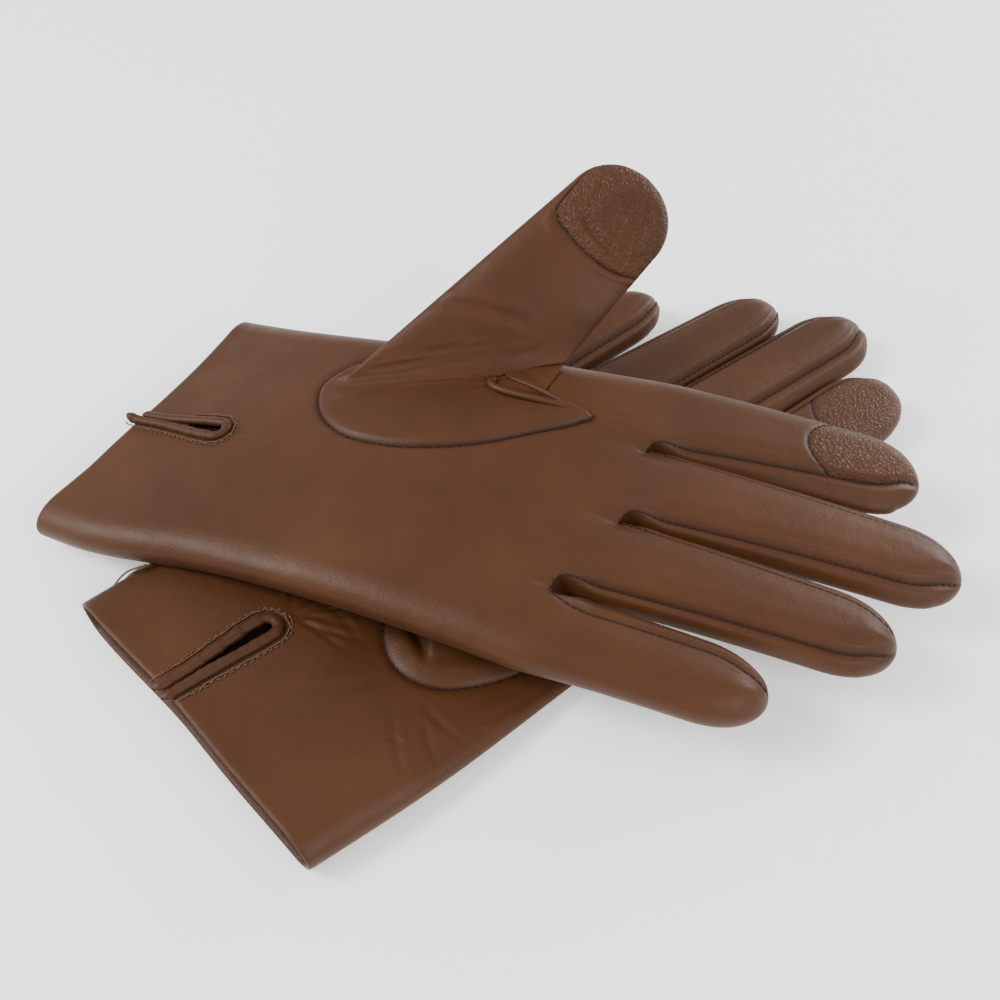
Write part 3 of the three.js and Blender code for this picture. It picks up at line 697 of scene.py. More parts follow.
def finger_edge(glove, name, which, s):
    """One edge of a finger's panel, its distance from the gap's end, and its share of the finger."""
    measures = glove["fingers"][name]
    base, length = measures["base"], measures["length"]
    number = ORDER.index(name) + (which > 0)
    start = np.array(crotches(glove)[number])
    root = float((start - base) @ measures["along"])
    along = root + s * (length - root)
    share = along / length
    tapered = measures["width"] / 2 * (1 - FINGER_TAPER * np.clip(share, 0, 1))
    half = tapered * closing(share, length, TIP_ROUND)
    d = along - root
    if has_strip(name, which):
        inset = strip_inset(glove, name, which, share)[0] * np.minimum(1, half / 9)
        t = np.clip(d / HOOK, 0, 1)
        k = 1 - np.sqrt(np.maximum(0, 1 - (1 - t) ** 2.6))
    else:
        inset = 0 * half
        k = 1 - smooth(d, 0, 22)
    offset = float((start - base) @ measures["across"]) - which * (measures["width"] / 2 - inset[0])
    lateral = which * (half - inset) + offset * k
    xy = base + along[:, None] * measures["along"] + lateral[:, None] * measures["across"]
    return xy, d, share


def finger_panel(glove, name, above, s):
    """A finger's palm or back panel: rows along it, columns across it."""
    lo, d_lo, share_lo = finger_edge(glove, name, -1, s)
    hi, d_hi, share_hi = finger_edge(glove, name, 1, s)
    t = ACROSS
    xy = lo[:, None, :] * (1 - t[None, :, None]) + hi[:, None, :] * t[None, :, None]
    d = d_lo[:, None] * (1 - t) + d_hi[:, None] * t
    share = share_lo[:, None] * (1 - t) + share_hi[:, None] * t
    width = np.linalg.norm(hi - lo, axis=1)[:, None]
    half = FINGER_THICKNESS / 2 * closing(share, glove["fingers"][name]["length"], TIP_PINCH)
    z = np.ones_like(share)
    groove = np.zeros_like(share)
    for which, inward in ((-1, width * t), (1, width * (1 - t))):
        if has_strip(name, which):
            edge = 0.68 + 0.32 * (1 - (1 - np.clip(inward / 8, 0, 1)) ** 2.4)
            dip = SEAM_DEPTH / 6.25 * np.exp(-((inward / SEAM_WIDTH) ** 2))
            pillow = 0.045 * np.exp(-(((inward - 1.9) / 0.8) ** 2))
            edge = edge - (dip - pillow) * smooth(d, -1, 2)
            # Painted shade along the fourchette's seam.
            groove = np.maximum(groove, np.exp(-((inward / 0.55) ** 2)) * smooth(d, -1, 1))
        else:
            edge = rounded(inward, FOLD_RADIUS)
        z = np.minimum(z, edge)
    own = half + half * z if above else half - half * np.minimum(1, 1.1 * z)
    own = own + (FINGER_THICKNESS / 2 - half)
    x, y = xy[..., 0], xy[..., 1]
    if not has_strip(name, -1):
        y = y + (glove["outer_edge"](x[:, :1]) - y[:, :1]) * (1 - t)
    if not has_strip(name, 1):
        y = y + (glove["thumb_edge"](x[:, -1:]) - y[:, -1:]) * t
    continued = (palm_height if above else back_height)(glove, x, y)
    blend = smooth(d, 0, 13)
    z = continued * (1 - blend) + own * blend
    return np.concatenate([xy, z[..., None]], -1), groove


def strip_grid(glove, name, which, s):
    """A fourchette: the rounded strip between the finger's palm and back panels."""
    top, _ = finger_panel(glove, name, True, s)
    bottom, _ = finger_panel(glove, name, False, s)
    column = 0 if which < 0 else -1
    a, b = top[:, column], bottom[:, column]
    measures = glove["fingers"][name]
    _, d, share = finger_edge(glove, name, which, s)
    v = (1 - np.cos(np.linspace(0, np.pi, STRIP_COLUMNS + 1))) / 2
    grid = a[:, None, :] * (1 - v[None, :, None]) + b[:, None, :] * v[None, :, None]
    inset, proud = strip_inset(glove, name, which, share)
    full = (inset + proud) * np.minimum(1, closing(share, measures["length"], TIP_ROUND) * 1.2)
    k = smooth(d, -2, HOOK)
    bulge = (full * k)[:, None] * (np.sin(np.pi * v) ** 0.5)[None, :]
    grid[..., :2] += bulge[..., None] * which * measures["across"]
    step = np.linalg.norm(np.diff(grid, axis=1), axis=2)
    reach = np.concatenate([np.zeros((len(grid), 1)), np.cumsum(step, 1)], 1)
    grid[..., 2] += 0.5 * np.exp(-(((reach - 2.4) / 1.2) ** 2)) * k[:, None]
    # Painted shade along the strip's two seams.
    inward = np.minimum(reach, reach[:, -1:] - reach)
    groove = np.exp(-((inward / 0.4) ** 2))
    return grid, groove


def finger_bend(glove, name):
    """Where this finger turns, given to place_piece as its blend: two bodies, and the bend's start and end.
    """
    measures = glove["fingers"][name]
    side = glove["side"]
    if side == "left":
        a, b, body = 1.0, 17.0, f"left_{name}"
    else:
        middle = measures["bend"] * measures["length"]
        a, b, body = middle - 7, middle + 7, f"right_{name}_end"
    ends = []
    for along in (a, b):
        xy = measures["base"] + along * measures["along"]
        ends.append(to_pair(side, (*xy, FINGER_THICKNESS / 2)))
    direction = ends[1] - ends[0]
    direction[2] = 0
    return f"{side}_glove", body, tuple(ends[0]), tuple(ends[0] + direction)


PATCH_ROW = 0.66  # share of the index finger's length where its touch patch starts
PATCH_BOW = 0.105  # how far the patch's seam bows towards the palm, as a share


def finger(glove, name):
    """One finger: its palm and back leather, its fourchettes, its stitches and the index's touch patch."""
    side = glove["side"]
    s = finger_rows(glove["fingers"][name])
    blend = finger_bend(glove, name)
    suffix = "finger" if side == "left" else "fingertip"
    top, top_groove = finger_panel(glove, name, True, s)
    bottom, bottom_groove = finger_panel(glove, name, False, s)
    panels = Shell()
    skins = []
    if name == "index":
        cut = int(np.searchsorted(s, PATCH_ROW))
        q = Q[None, :]
        warp = PATCH_BOW * (1 - q**2) * np.exp(-(((s[:, None] - PATCH_ROW) / 0.16) ** 2))
        top, top_groove = resample_rows(top, top_groove, s, s[:, None] - warp)
        run = ((s - s[cut]) * glove["fingers"][name]["length"])[:, None] * np.ones_like(q)
        top[..., 2] -= 0.45 * np.exp(-((run / 0.9) ** 2))
        # Painted shade along the touch patch's seam.
        top_groove = np.maximum(top_groove, np.exp(-((run / 0.5) ** 2)))
        patch = Shell()
        patch.add(top[cut:], top_groove[cut:])
        tip = patch.build(f"{side}_index_patch", side, PATCH_LEATHER)
        skins.append(place_piece(tip, blend=blend, replaces=[f"{side}_index_touch_patch"]))
        stitches(f"{side}_index_patch_stitches", side, top[cut], blend=blend)
        panels.add(top[: cut + 1], top_groove[: cut + 1])
    else:
        panels.add(top, top_groove)
    panels.add(bottom, bottom_groove, flip=True)
    skin = panels.build(f"{side}_{name}_leather", side, LEATHER)
    skins.append(place_piece(skin, blend=blend, replaces=[f"{side}_{name}_{suffix}"]))
    for which, word in ((-1, "outer"), (1, "thumb")):
        if not has_strip(name, which):
            continue
        grid, groove = strip_grid(glove, name, which, s)
        strip = Shell()
        strip.add(grid, groove, flip=which < 0)
        piece = strip.build(f"{side}_{name}_strip_{word}_side", side, LEATHER)
        place_piece(piece, blend=blend, replaces=[f"{side}_{name}_fourchette_{word}_side"])
        edge = top[: int(len(s) * 0.93), 0 if which < 0 else -1]
        stitches(f"{side}_{name}_seam_{word}_side", side, edge, blend=blend)
    return skins


def resample_rows(grid, groove, s, wanted):
    """The grid with each column's rows moved to the wanted shares of the finger's length."""
    moved, moved_groove = grid.copy(), groove.copy()
    for j in range(grid.shape[1]):
        for k in range(3):
            moved[:, j, k] = np.interp(wanted[:, j], s, grid[:, j, k])
        moved_groove[:, j] = np.interp(wanted[:, j], s, groove[:, j])
    return moved, moved_groove


# ---- stitches ------------------------------------------------------------------------------------------
CAPSULE = ((0.0, 0.35), (0.15, 0.9), (0.5, 1.0), (0.85, 0.9), (1.0, 0.35))  # share along it, and size
CAPSULE_SIDES = 6


def stitches(name, side, path, body=None, blend=None, lift=0.12, pitch=STITCH["pitch"], material=SEWING,
             normal=None):
    """A row of short stitches along a path, each a small capsule lying in its seam."""
    path = np.asarray(path, float)
    normal = np.tile((0, 0, 1.0), (len(path), 1)) if normal is None else np.asarray(normal)
    step = np.linalg.norm(np.diff(path, axis=0), axis=1)
    run = np.concatenate([[0], np.cumsum(step)])
    points, faces = [], []
    rounds = np.arange(CAPSULE_SIDES)
    for start in np.arange(pitch / 2, run[-1] - pitch / 2, pitch):
        first = len(points)
        for share, size in CAPSULE:
            at = start + share * STITCH["length"]
            p = np.array([np.interp(at, run, path[:, k]) for k in range(3)])
            q = np.array([np.interp(at + 0.3, run, path[:, k]) for k in range(3)])
            t = q - p
            t = t / max(1e-9, np.linalg.norm(t))
            out = np.array([np.interp(at, run, normal[:, k]) for k in range(3)])
            u = np.cross(t, out)
            u = u / max(1e-9, np.linalg.norm(u))
            w = np.cross(u, t)
            sink = 0.18 * (abs(share - 0.5) * 2) ** 2
            middle, radius = p + w * (lift - sink), STITCH["radius"] * size
            for a in 2 * np.pi * rounds / CAPSULE_SIDES:
                points.append(middle + radius * (u * np.cos(a) + w * np.sin(a)))
        for r in range(len(CAPSULE) - 1):
            for k in range(CAPSULE_SIDES):
                a = first + r * CAPSULE_SIDES + k
                b = first + r * CAPSULE_SIDES + (k + 1) % CAPSULE_SIDES
                faces.append((a, b, b + CAPSULE_SIDES, a + CAPSULE_SIDES))
        faces.append(tuple((first + rounds)[::-1].tolist()))
        faces.append(tuple((first + (len(CAPSULE) - 1) * CAPSULE_SIDES + rounds).tolist()))
    place_piece(add_mesh(name, to_pair(side, points), faces, material), body=body, blend=blend)


# ---- rolled edges -------------------------------------------------------------------------------------
def roll(path, radii, sides, up=(0, 0, 1), squash=1.0):
    """A rolled leather edge: a tube along a path, as a closed grid of rings."""
    path = np.asarray(path, float)
    ahead = np.gradient(path, axis=0)
    ahead /= np.linalg.norm(ahead, axis=1)[:, None]
    across = np.cross(ahead, np.asarray(up, float))
    across /= np.linalg.norm(across, axis=1)[:, None]
    lift = np.cross(across, ahead)
    a = np.linspace(0, 2 * np.pi, sides, endpoint=False)
    radii = np.asarray(radii, float)[:, None, None] * np.ones((len(path), 1, 1))
    ring = across[:, None, :] * np.cos(a)[None, :, None]
    ring = ring + squash * lift[:, None, :] * np.sin(a)[None, :, None]
    return path[:, None, :] + radii * ring


def resample(path, step):
    """The path with points evenly spaced along it."""
    path = np.asarray(path, float)
    run = np.concatenate([[0], np.cumsum(np.linalg.norm(np.diff(path, axis=0), axis=1))])
    at = np.linspace(0, run[-1], max(2, int(run[-1] / step) + 1))
    return np.stack([np.interp(at, run, path[:, k]) for k in range(path.shape[1])], -1)


# ---- the vent -----------------------------------------------------------------------------------------
VENT_SHAPES = {  # how narrow the slit is at the cuff, and how far each edge stands out past the cuff
    "left": {"closed": 0.48, "near": 3.3, "far": 0.2, "curl": 0.13},
    "right": {"closed": 0.60, "near": 1.9, "far": 1.9, "curl": 0.05},
}


def vent_narrowing(side, x):
    """Share of its full width that the vent has at x; it is narrowest at the cuff."""
    closed = VENT_SHAPES[side]["closed"]
    return closed + (1 - closed) * smooth(x, 6, VENT["length"] * 0.9)


def vent_outline(side, offset, near=None, far=None):
    """A U in plan around the vent, at an offset from its middle."""
    middle, length = VENT["middle"], VENT["length"]
    near = -VENT_SHAPES[side]["near"] if near is None else near
    far = -VENT_SHAPES[side]["far"] if far is None else far
    turn = np.radians(np.linspace(-90, 90, 19))
    inner = VENT["offset"]
    legs = []
    for start, hand_side in ((near, -1), (far, 1)):
        x = np.linspace(start, length - 2.6, 24)
        out = inner * vent_narrowing(side, x) + offset - inner
        legs.append(np.column_stack([x, middle + hand_side * out]))
    end = np.column_stack([length - 2.2 + offset * np.cos(turn), middle + offset * np.sin(turn)])
    return resample(np.concatenate([legs[0], end, legs[1][::-1]]), 0.6)


def on_palm(glove, outline, height):
    """Points at a height over the palm; past the cuff's edge they curl upwards."""
    x = np.maximum(outline[:, 0], 0.2)
    past = np.maximum(0, 0.5 - outline[:, 0])
    z = palm_height(glove, x, outline[:, 1]) + height + VENT_SHAPES[glove["side"]]["curl"] * past**2
    return np.column_stack([outline, z])


def vent(glove):
    """The bound edge of the slit at the wrist, with a dark row and a ragged row of stitches."""
    side = glove["side"]
    body = f"{side}_glove"
    path = on_palm(glove, vent_outline(side, VENT["offset"]), 0.3)
    run = np.linspace(0, 1, len(path))
    radii = VENT["half_width"] * (1 + 0.09 * cloud(run * 60, run * 0, 2.5, 21) + 0.04 * np.sin(run * 150))
    to_end = np.minimum(np.arange(len(path)), np.arange(len(path))[::-1])
    radii = radii * np.sqrt(np.clip((to_end + 0.15) / 2.5, 0.05, 1))
    shell = Shell()
    shell.add(roll(path, radii, 14, squash=0.8), closed=True)
    binding = shell.build(f"{side}_vent_roll", side, EDGE_LEATHER)
    place_piece(binding, body=body, replaces=[f"{side}_vent_binding"])
    past_cuff = VENT_SHAPES[side]["near"]
    stop = 0.3 if side == "right" else 17  # the left vent's far side has no ragged stitches near the cuff
    # Each row: distance out, lift, pitch, raggedness, thread, and where its near and far legs start.
    rows = (
        ("dark", 1.7, 0.12, 1.6, 0.0, SEWING, -past_cuff + 1, 0.3),
        ("ragged", 2.9, 0.30, 1.15, 0.34, RAGGED, -past_cuff + 0.4, stop),
        ("loose", 3.5, 0.22, 1.9, 0.45, RAGGED, -0.4, stop + 4),
    )
    for number, (word, out, lift, pitch, jitter, material, near, far) in enumerate(rows):
        line = vent_outline(side, VENT["offset"] + out, near, far)
        line[:, 1] += jitter * cloud(line[:, 0], line[:, 1], 0.9, 31 + number)
        line[:, 0] += jitter * cloud(line[:, 1] + 50, line[:, 0], 0.9, 35 + number)
        stitches(f"{side}_vent_{word}_stitches", side, on_palm(glove, line, 0.0), body=body, lift=lift,
                 pitch=pitch, material=material)


# ---- the linings --------------------------------------------------------------------------------------
LINING_DEPTH = 2.0
LINING_SHARE = 0.78  # a finger's lining, as a share of its leather


def linings(glove):
    """The knitted inner glove: the hand's, and each finger's."""
    side = glove["side"]
    share, _ = hand_columns(glove)
    x = np.linspace(HEM - 1.5, OUTER_END - 0.5, 70)[:, None] * np.ones_like(share)
    shell = Shell()
    for above in (True, False):
        shell.add(hand_surface(glove, x, share * np.ones_like(x), above, LINING_DEPTH), flip=not above)
    piece = shell.build(f"{side}_hand_lining", side, KNIT)
    place_piece(piece, body=f"{side}_glove", replaces=[f"{side}_lining"])
    for name in ORDER:
        s = finger_rows(glove["fingers"][name])[3:-4]
        shell = Shell()
        top, _ = finger_panel(glove, name, True, s)
        bottom, _ = finger_panel(glove, name, False, s)
        middle = 0.25 * (top[:, :1] + top[:, -1:] + bottom[:, :1] + bottom[:, -1:])
        ring = np.concatenate([top, bottom[:, ::-1]], 1)
        shell.add(middle + (ring - middle) * LINING_SHARE, closed=True)
        nodes = [f"{side}_{name}_lining"]
        if side == "right":
            nodes.append(f"right_{name}_fingertip_lining")
        piece = shell.build(f"{side}_{name}_finger_lining", side, KNIT)
        place_piece(piece, blend=finger_bend(glove, name), replaces=nodes)


# ---- the thumbs ---------------------------------------------------------------------------------------
ROUNDNESS = 0.77  # below 1 makes a thumb's cross-section squarer than an ellipse
THUMB_COLUMNS = 144
CREASE_HEIGHT = 25.756  # in the pair's frame
LEAN = math.radians(46)  # how far the raised thumb leans up from the palm
# The raised thumb's outline in its own plane: along its crease, and up from it.
THUMB_LEFT = np.array([(-19.5, -1.5), (48.8, 56.8)])
THUMB_RIGHT = np.array([(46.5, 5.0), (71.8, 34.6)])
THUMB_ROUND = 14.6
THUMB_AXIS = (THUMB_LEFT[1] + THUMB_RIGHT[1] - THUMB_LEFT[0] - THUMB_RIGHT[0]) / 2
THUMB_LENGTH = float(np.linalg.norm(THUMB_AXIS)) + THUMB_ROUND
THUMB_STRAIGHT = 1 - THUMB_ROUND / THUMB_LENGTH
CUT_SHARE = 0.66  # the row of its grid, as a share, that follows the touch patch's seam
HOOK_ANGLE = 76  # degrees round the thumb at which its crease ends and the quirk's seam starts


def squared_off(v):
    """A sine or cosine, changed to draw a rounded oblong in place of an ellipse."""
    return np.sign(v) * np.abs(v) ** ROUNDNESS


def on_crease(u, v):
    """A point in plan at a distance along the raised thumb's crease, and beyond it."""
    c, n = math.cos(CREASE["angle"]), math.sin(CREASE["angle"])
    return CREASE["x"] + u * c - v * n, CREASE["y"] + u * n + v * c


def raised(u, v, out):
    """A point near the raised thumb's plane: along the crease, up the thumb, and out from it."""
    x, y = on_crease(u, v * math.cos(LEAN) - out * math.sin(LEAN))
    z = CREASE_HEIGHT + v * math.sin(LEAN) + out * math.cos(LEAN) - drape(x)
    return np.stack([x, y, z], -1)


def thumb_plan(s, q):
    """Along the crease and up the thumb, at a share of its length and a share across it."""
    f = np.minimum(s / THUMB_STRAIGHT, 1)
    beyond = np.maximum(s - THUMB_STRAIGHT, 0) * THUMB_LENGTH
    closed = closing(s, THUMB_LENGTH, THUMB_ROUND)
    place = []
    for k, ahead in ((0, math.cos(LEAN)), (1, math.sin(LEAN))):
        left = THUMB_LEFT[0, k] + (THUMB_LEFT[1, k] - THUMB_LEFT[0, k]) * f
        right = THUMB_RIGHT[0, k] + (THUMB_RIGHT[1, k] - THUMB_RIGHT[0, k]) * f
        place.append((left + right) / 2 + ahead * beyond + (right - left) / 2 * closed * q)
    place[1] = place[1] - 2.2 * np.exp(-(((place[0] - 24) / 11) ** 2)) * (1 - smooth(s, 0, 0.15))
    return place


def thumb_point(s, phi, scale=1.0):
    """The raised thumb's skin; half a turn from 0 is the side that faces the palm."""
    u, v = thumb_plan(s, squared_off(np.cos(phi)) * scale)
    up = squared_off(np.sin(phi))
    grown = smooth(s, 0, 0.4)
    front = 1.2 + 3.1 * grown
    back = 3.0 + 1.3 * grown
    out = np.where(up > 0, front, back) * up * closing(s, THUMB_LENGTH, 8) * scale
    return raised(u, v, out)


# The seam of the raised thumb's touch patch: share across the thumb, and along it.
PATCH_SEAM = through([
    (-1, 0.93), (-0.94, 0.83), (-0.86, 0.745), (-0.7, 0.705), (-0.4, 0.68), (0.2, 0.64), (0.68, 0.625),
    (1, 0.645),
])
# Folds in the raised thumb, in its plane: from, to, bow, depth and width.
THUMB_FOLDS = [
    (6, 22.5, 36, 16, 1.5, 0.62, 1.5),
    (20.5, 15, 23.5, 2, 0.8, 0.55, 1.3),
    (27, 7.0, 42, 11, -1.5, 0.18, 1.3),
]


# Both in plan, by the angle round the thumb: the seam from the thumb's crease to the tongue of its
# base, and the foot of the quirk behind it.
QUIRK_SEAM = ((-8, 124, 30.0), (0, 122, 28.8), (20, 115, 27.9), (50, 103.5, 27.6), (HOOK_ANGLE, 97.3, 30.2))
QUIRK_FOOT = ((-8, 119, 32), (0, 114, 31.0), (20, 110, 30.4), (50, 103, 30.4), (HOOK_ANGLE, 98, 31.9))


def at_angles(line, angles):
    """Points in plan of a line given as (angle, x, y), at the wanted angles."""
    return np.column_stack([through([(stop[0], stop[k]) for stop in line])(angles) for k in (1, 2)])


def fine_wrinkles(up, u):
    """Depth of the fine wrinkles along the thumb's crease, at a distance up from it."""
    lines = 0.5 + 0.5 * cloud(up - 0.10 * u + 40, u / 11, 1.0, 45)
    window = smooth(up, -9, -1) * smooth(-up, -12, -1) * smooth(u, -18, -9) * smooth(-u, -25, -14)
    return 0.62 * lines * window


COLLAR_FLAT = 20  # rows from the oval seam to the thumb's crease
COLLAR_TURN = 26  # rows round the crease


def left_collar(glove, phi, top):
    """The thumb's leather from its oval seam in to its crease and up to the row of points called top."""
    degrees = np.degrees(phi)
    signed = np.where(degrees > 180, degrees - 360, degrees)
    seam = seam_curve("left", degrees)
    u, _ = thumb_plan(0.0, squared_off(np.cos(phi)))
    front = squared_off(np.sin(phi)) > 0
    out = np.where(front, 1.2, 3.0) * squared_off(np.sin(phi))
    corner = np.stack(on_crease(np.minimum(u, 26), -out / math.sin(LEAN)), -1)
    quirk = (smooth(signed, -8, 0) * smooth(-signed, -HOOK_ANGLE - 3, -HOOK_ANGLE + 3))[:, None]
    stitched, foot = at_angles(QUIRK_SEAM, signed), at_angles(QUIRK_FOOT, signed)
    reach = np.linalg.norm(corner - seam, axis=1)[:, None]
    ahead = corner + (seam - corner) * np.minimum(0.5, 4.5 / reach)
    ahead = ahead + (stitched - ahead) * quirk
    corner = corner + (foot - corner) * quirk

    def lay(points, height):
        return np.column_stack([points, palm_height(glove, points[:, 0], points[:, 1]) + height])

    rows, grooves = [], []
    span = np.linalg.norm(ahead - seam, axis=1)
    for t in np.linspace(0, 1, COLLAR_FLAT):
        points = seam + (ahead - seam) * t
        d = span * t
        pillow = 0.7 * (1 - np.exp(-d / 0.6)) + 0.5 * np.sin(np.pi * t) * smooth(span, 3, 12)
        dip = SEAM_DEPTH * np.exp(-d / 0.6)
        welted = np.exp(-((span * (1 - t) / 0.8) ** 2)) * quirk[:, 0]
        rows.append(lay(points, pillow - dip - 0.9 * welted))
        # Painted shade in the seam and under the quirk's welt.
        grooves.append(np.maximum(np.exp(-((d / 0.6) ** 2)), welted))
    start, middle = rows[-1], lay(corner, 0.45 - 0.4 * quirk[:, 0])
    for t in np.linspace(0, 1, COLLAR_TURN)[1:-1]:
        bent = (1 - t) ** 2 * start + 2 * t * (1 - t) * middle + t * t * top
        if t < 0.3:
            straight = start + (middle - start) * t / 0.3
        else:
            straight = middle + (top - middle) * (t - 0.3) / 0.7
        rows.append(bent + (straight - bent) * quirk)
        # Painted shade along the foot of the quirk.
        grooves.append(np.exp(-(((t - 0.27) / 0.07) ** 2)) * quirk[:, 0])
    return np.array(rows), np.array(grooves)


def left_thumb(glove):
    """The raised thumb with its base, quirk, touch patch, stitches and lining; its leather is returned."""
    side = "left"
    phi = np.linspace(0, 2 * np.pi, THUMB_COLUMNS, endpoint=False)
    q = squared_off(np.cos(phi))
    turn = np.sin(np.linspace(0, np.pi / 2, 30))[1:]
    s = np.concatenate([
        np.linspace(0, 0.2, 30),
        np.linspace(0.2, CUT_SHARE, 44)[1:],
        np.linspace(CUT_SHARE, THUMB_STRAIGHT, 24)[1:],
        THUMB_STRAIGHT + (1 - THUMB_STRAIGHT) * turn,
    ])
    cut = int(np.argmin(np.abs(s - CUT_SHARE)))
    degrees = np.degrees(phi)
    past_hook = smooth(degrees, HOOK_ANGLE - 3, HOOK_ANGLE + 14)
    first = 0.05 * np.where(degrees > 180, smooth(360 - degrees, 0, 20), past_hook)
    facing = np.clip(np.sin(phi), 0, 1) ** 0.5
    front_seam = PATCH_SEAM(q)
    back_seam = 0.645 + 0.285 * smooth(-q, -1, 1)
    seam_at = np.where(phi <= np.pi, front_seam, back_seam)[None, :]
    rows = s[:, None] * np.ones_like(seam_at)
    below = first + rows * (seam_at - first) / CUT_SHARE
    above = seam_at + (rows - CUT_SHARE) * (1 - seam_at) / (1 - CUT_SHARE)
    rows = np.where(rows <= CUT_SHARE, below, above)
    flap = thumb_point(rows, phi[None, :])
    plain_row = flap[0].copy()
    u, v = thumb_plan(rows, q[None, :])
    facing = facing[None, :]
    run = (rows - seam_at) * THUMB_LENGTH
    # Painted shade along the touch patch's seam, on the front only.
    groove = np.exp(-((run / 0.5) ** 2)) * facing
    in_patch = smooth(run, 0.6, 3)
    crinkle = 0.22 * cloud(u, v, 2.6, 41) - 0.38 * np.abs(cloud(u + 9, v, 2.2, 42))
    crinkle = crinkle + 0.12 * cloud(u, v, 1.1, 47)
    hollow = smooth(1.0 - np.hypot((u - 64.5) / 8.2, (v - 45.5) / 9.0) + 0.12 * cloud(u, v, 5, 48), 0, 0.35)
    ridge = crease(u, v, (50.5, 48, 60, 35.5, -1, 0.6, 1.1))
    shift = -0.6 * np.exp(-((run / 0.8) ** 2)) + 0.28 * np.exp(-(((run + 2.2) / 1.1) ** 2))
    shift = shift + in_patch * (crinkle * facing**2 - 0.6 * hollow - ridge)
    folds = 0.30 * cloud(u, v, 14, 43) + 0.07 * cloud(u, v, 3.5, 44)
    for stroke in THUMB_FOLDS:
        folds = folds - crease(u, v, stroke)
    up = v - v[:1]
    shift = shift + (1 - in_patch) * folds * smooth(up, 0.5, 3) - fine_wrinkles(up, u)
    flap = flap + normals_of(flap, True) * (shift * facing)[..., None]

    collar, collar_groove = left_collar(glove, phi, plain_row)
    quirked = (degrees < HOOK_ANGLE) | (degrees > 356)
    # Painted shade along the quirk's seam.
    groove[0] = np.maximum(groove[0], 0.9 * quirked)
    flap[0, quirked] += np.array([0.2, 0.35, -0.5])
    along = np.linalg.norm(np.diff(np.concatenate([collar, flap[:1]]), axis=0), axis=2)
    up = -np.cumsum(along[::-1], 0)[::-1]
    collar = collar - normals_of(collar, True) * (fine_wrinkles(up, u[:1]) * facing)[..., None]

    grid = np.concatenate([collar, flap])
    grooves = np.concatenate([collar_groove, groove])
    columns_front = (phi >= 0) & (phi < np.pi)
    is_patch = np.zeros((len(grid) - 1, len(phi)), bool)
    is_patch[len(collar) + cut :] = columns_front[None, :]
    is_quirk = np.zeros_like(is_patch)
    is_quirk[COLLAR_FLAT : len(collar)] = (degrees < HOOK_ANGLE)[None, :]
    blend = thumb_bend()
    pieces = []
    for name, keep, material, nodes in (
        ("left_thumb_leather", ~is_patch & ~is_quirk, LEATHER, ["left_thumb", "left_thumb_base"]),
        ("left_thumb_patch", is_patch, PATCH_LEATHER, ["left_thumb_touch_patch"]),
        ("left_quirk_leather", is_quirk, LEATHER, ["left_thumb_quirk"]),
    ):
        shell = Shell()
        shell.add(grid, grooves, closed=True, keep=keep, flip=True)
        if keep is is_quirk:
            shell.add(welt_roll(glove, WELTS[side]), closed=True)
        pieces.append(place_piece(shell.build(name, side, material), blend=blend, replaces=nodes))
    normals = normals_of(grid, True)
    columns = np.where(columns_front)[0]
    row = len(collar) + cut
    seam, out = grid[row, columns], normals[row, columns]
    stitches("left_thumb_patch_stitches", side, seam, blend=blend, normal=out)
    columns = np.where(quirked & (degrees < 180))[0]
    row = len(collar)
    seam, out = grid[row, columns], normals[row, columns]
    stitches("left_quirk_stitches", side, seam, blend=blend, normal=out, pitch=1.6)
    seam = in_seam(glove, np.linspace(8, 200, 120))
    stitches("left_thumb_seam_stitches", side, seam, body="left_glove")
    shell = Shell()
    inner = thumb_point(np.linspace(0.16, 0.95, 40)[:, None], phi[None, ::2], 0.55)
    shell.add(inner, closed=True, flip=True)
    piece = shell.build("left_thumb_inner_lining", side, KNIT)
    place_piece(piece, blend=blend, replaces=["left_thumb_lining"])
    return pieces


def in_seam(glove, angles):
    """A path in the groove of the seam round a thumb's base, between the given angles."""
    line = resample(seam_curve(glove["side"], angles), 0.6)
    return np.column_stack([line, palm_height(glove, line[:, 0], line[:, 1]) - SEAM_DEPTH + 0.1])


def thumb_bend():
    """Where the raised thumb turns, given to place_piece as its blend: just above the whole of its base."""
    crease_at = to_pair("left", (CREASE["x"], CREASE["y"], CREASE_HEIGHT - drape(CREASE["x"])))
    ahead = np.array((-math.sin(CREASE["angle"]) * BEND_TILT, math.cos(CREASE["angle"]) * BEND_TILT, 1))
    ahead /= math.sqrt(1 + BEND_TILT**2)
    start, end = (tuple(crease_at + ahead * height) for height in BEND_HEIGHTS)
    return "left_glove", "left_thumb_part", start, end


BEND_TILT = 0.1  # how far the thumb's bend leans towards the fingers, as the draped palm does
BEND_HEIGHTS = (0.0024, 0.0088)  # metres above the crease

# The rolled seam of each quirk: points in plan, with its radius.
WELTS = {
    "left": [(99.6, 33.0, 1.0), (98.2, 31.2, 1.15), (99.8, 29.5, 1.2), (104, 28.7, 1.2), (110, 28.6, 1.15),
             (116, 28.8, 1.1), (122, 29.1, 1.0), (126.5, 29.1, 0.8), (129, 28.8, 0.5)],
    "right": [(101, 38.2, 1.0), (107, 36.6, 1.2), (114, 36.0, 1.2), (121, 36.2, 1.1), (127, 37.2, 0.8)],
}


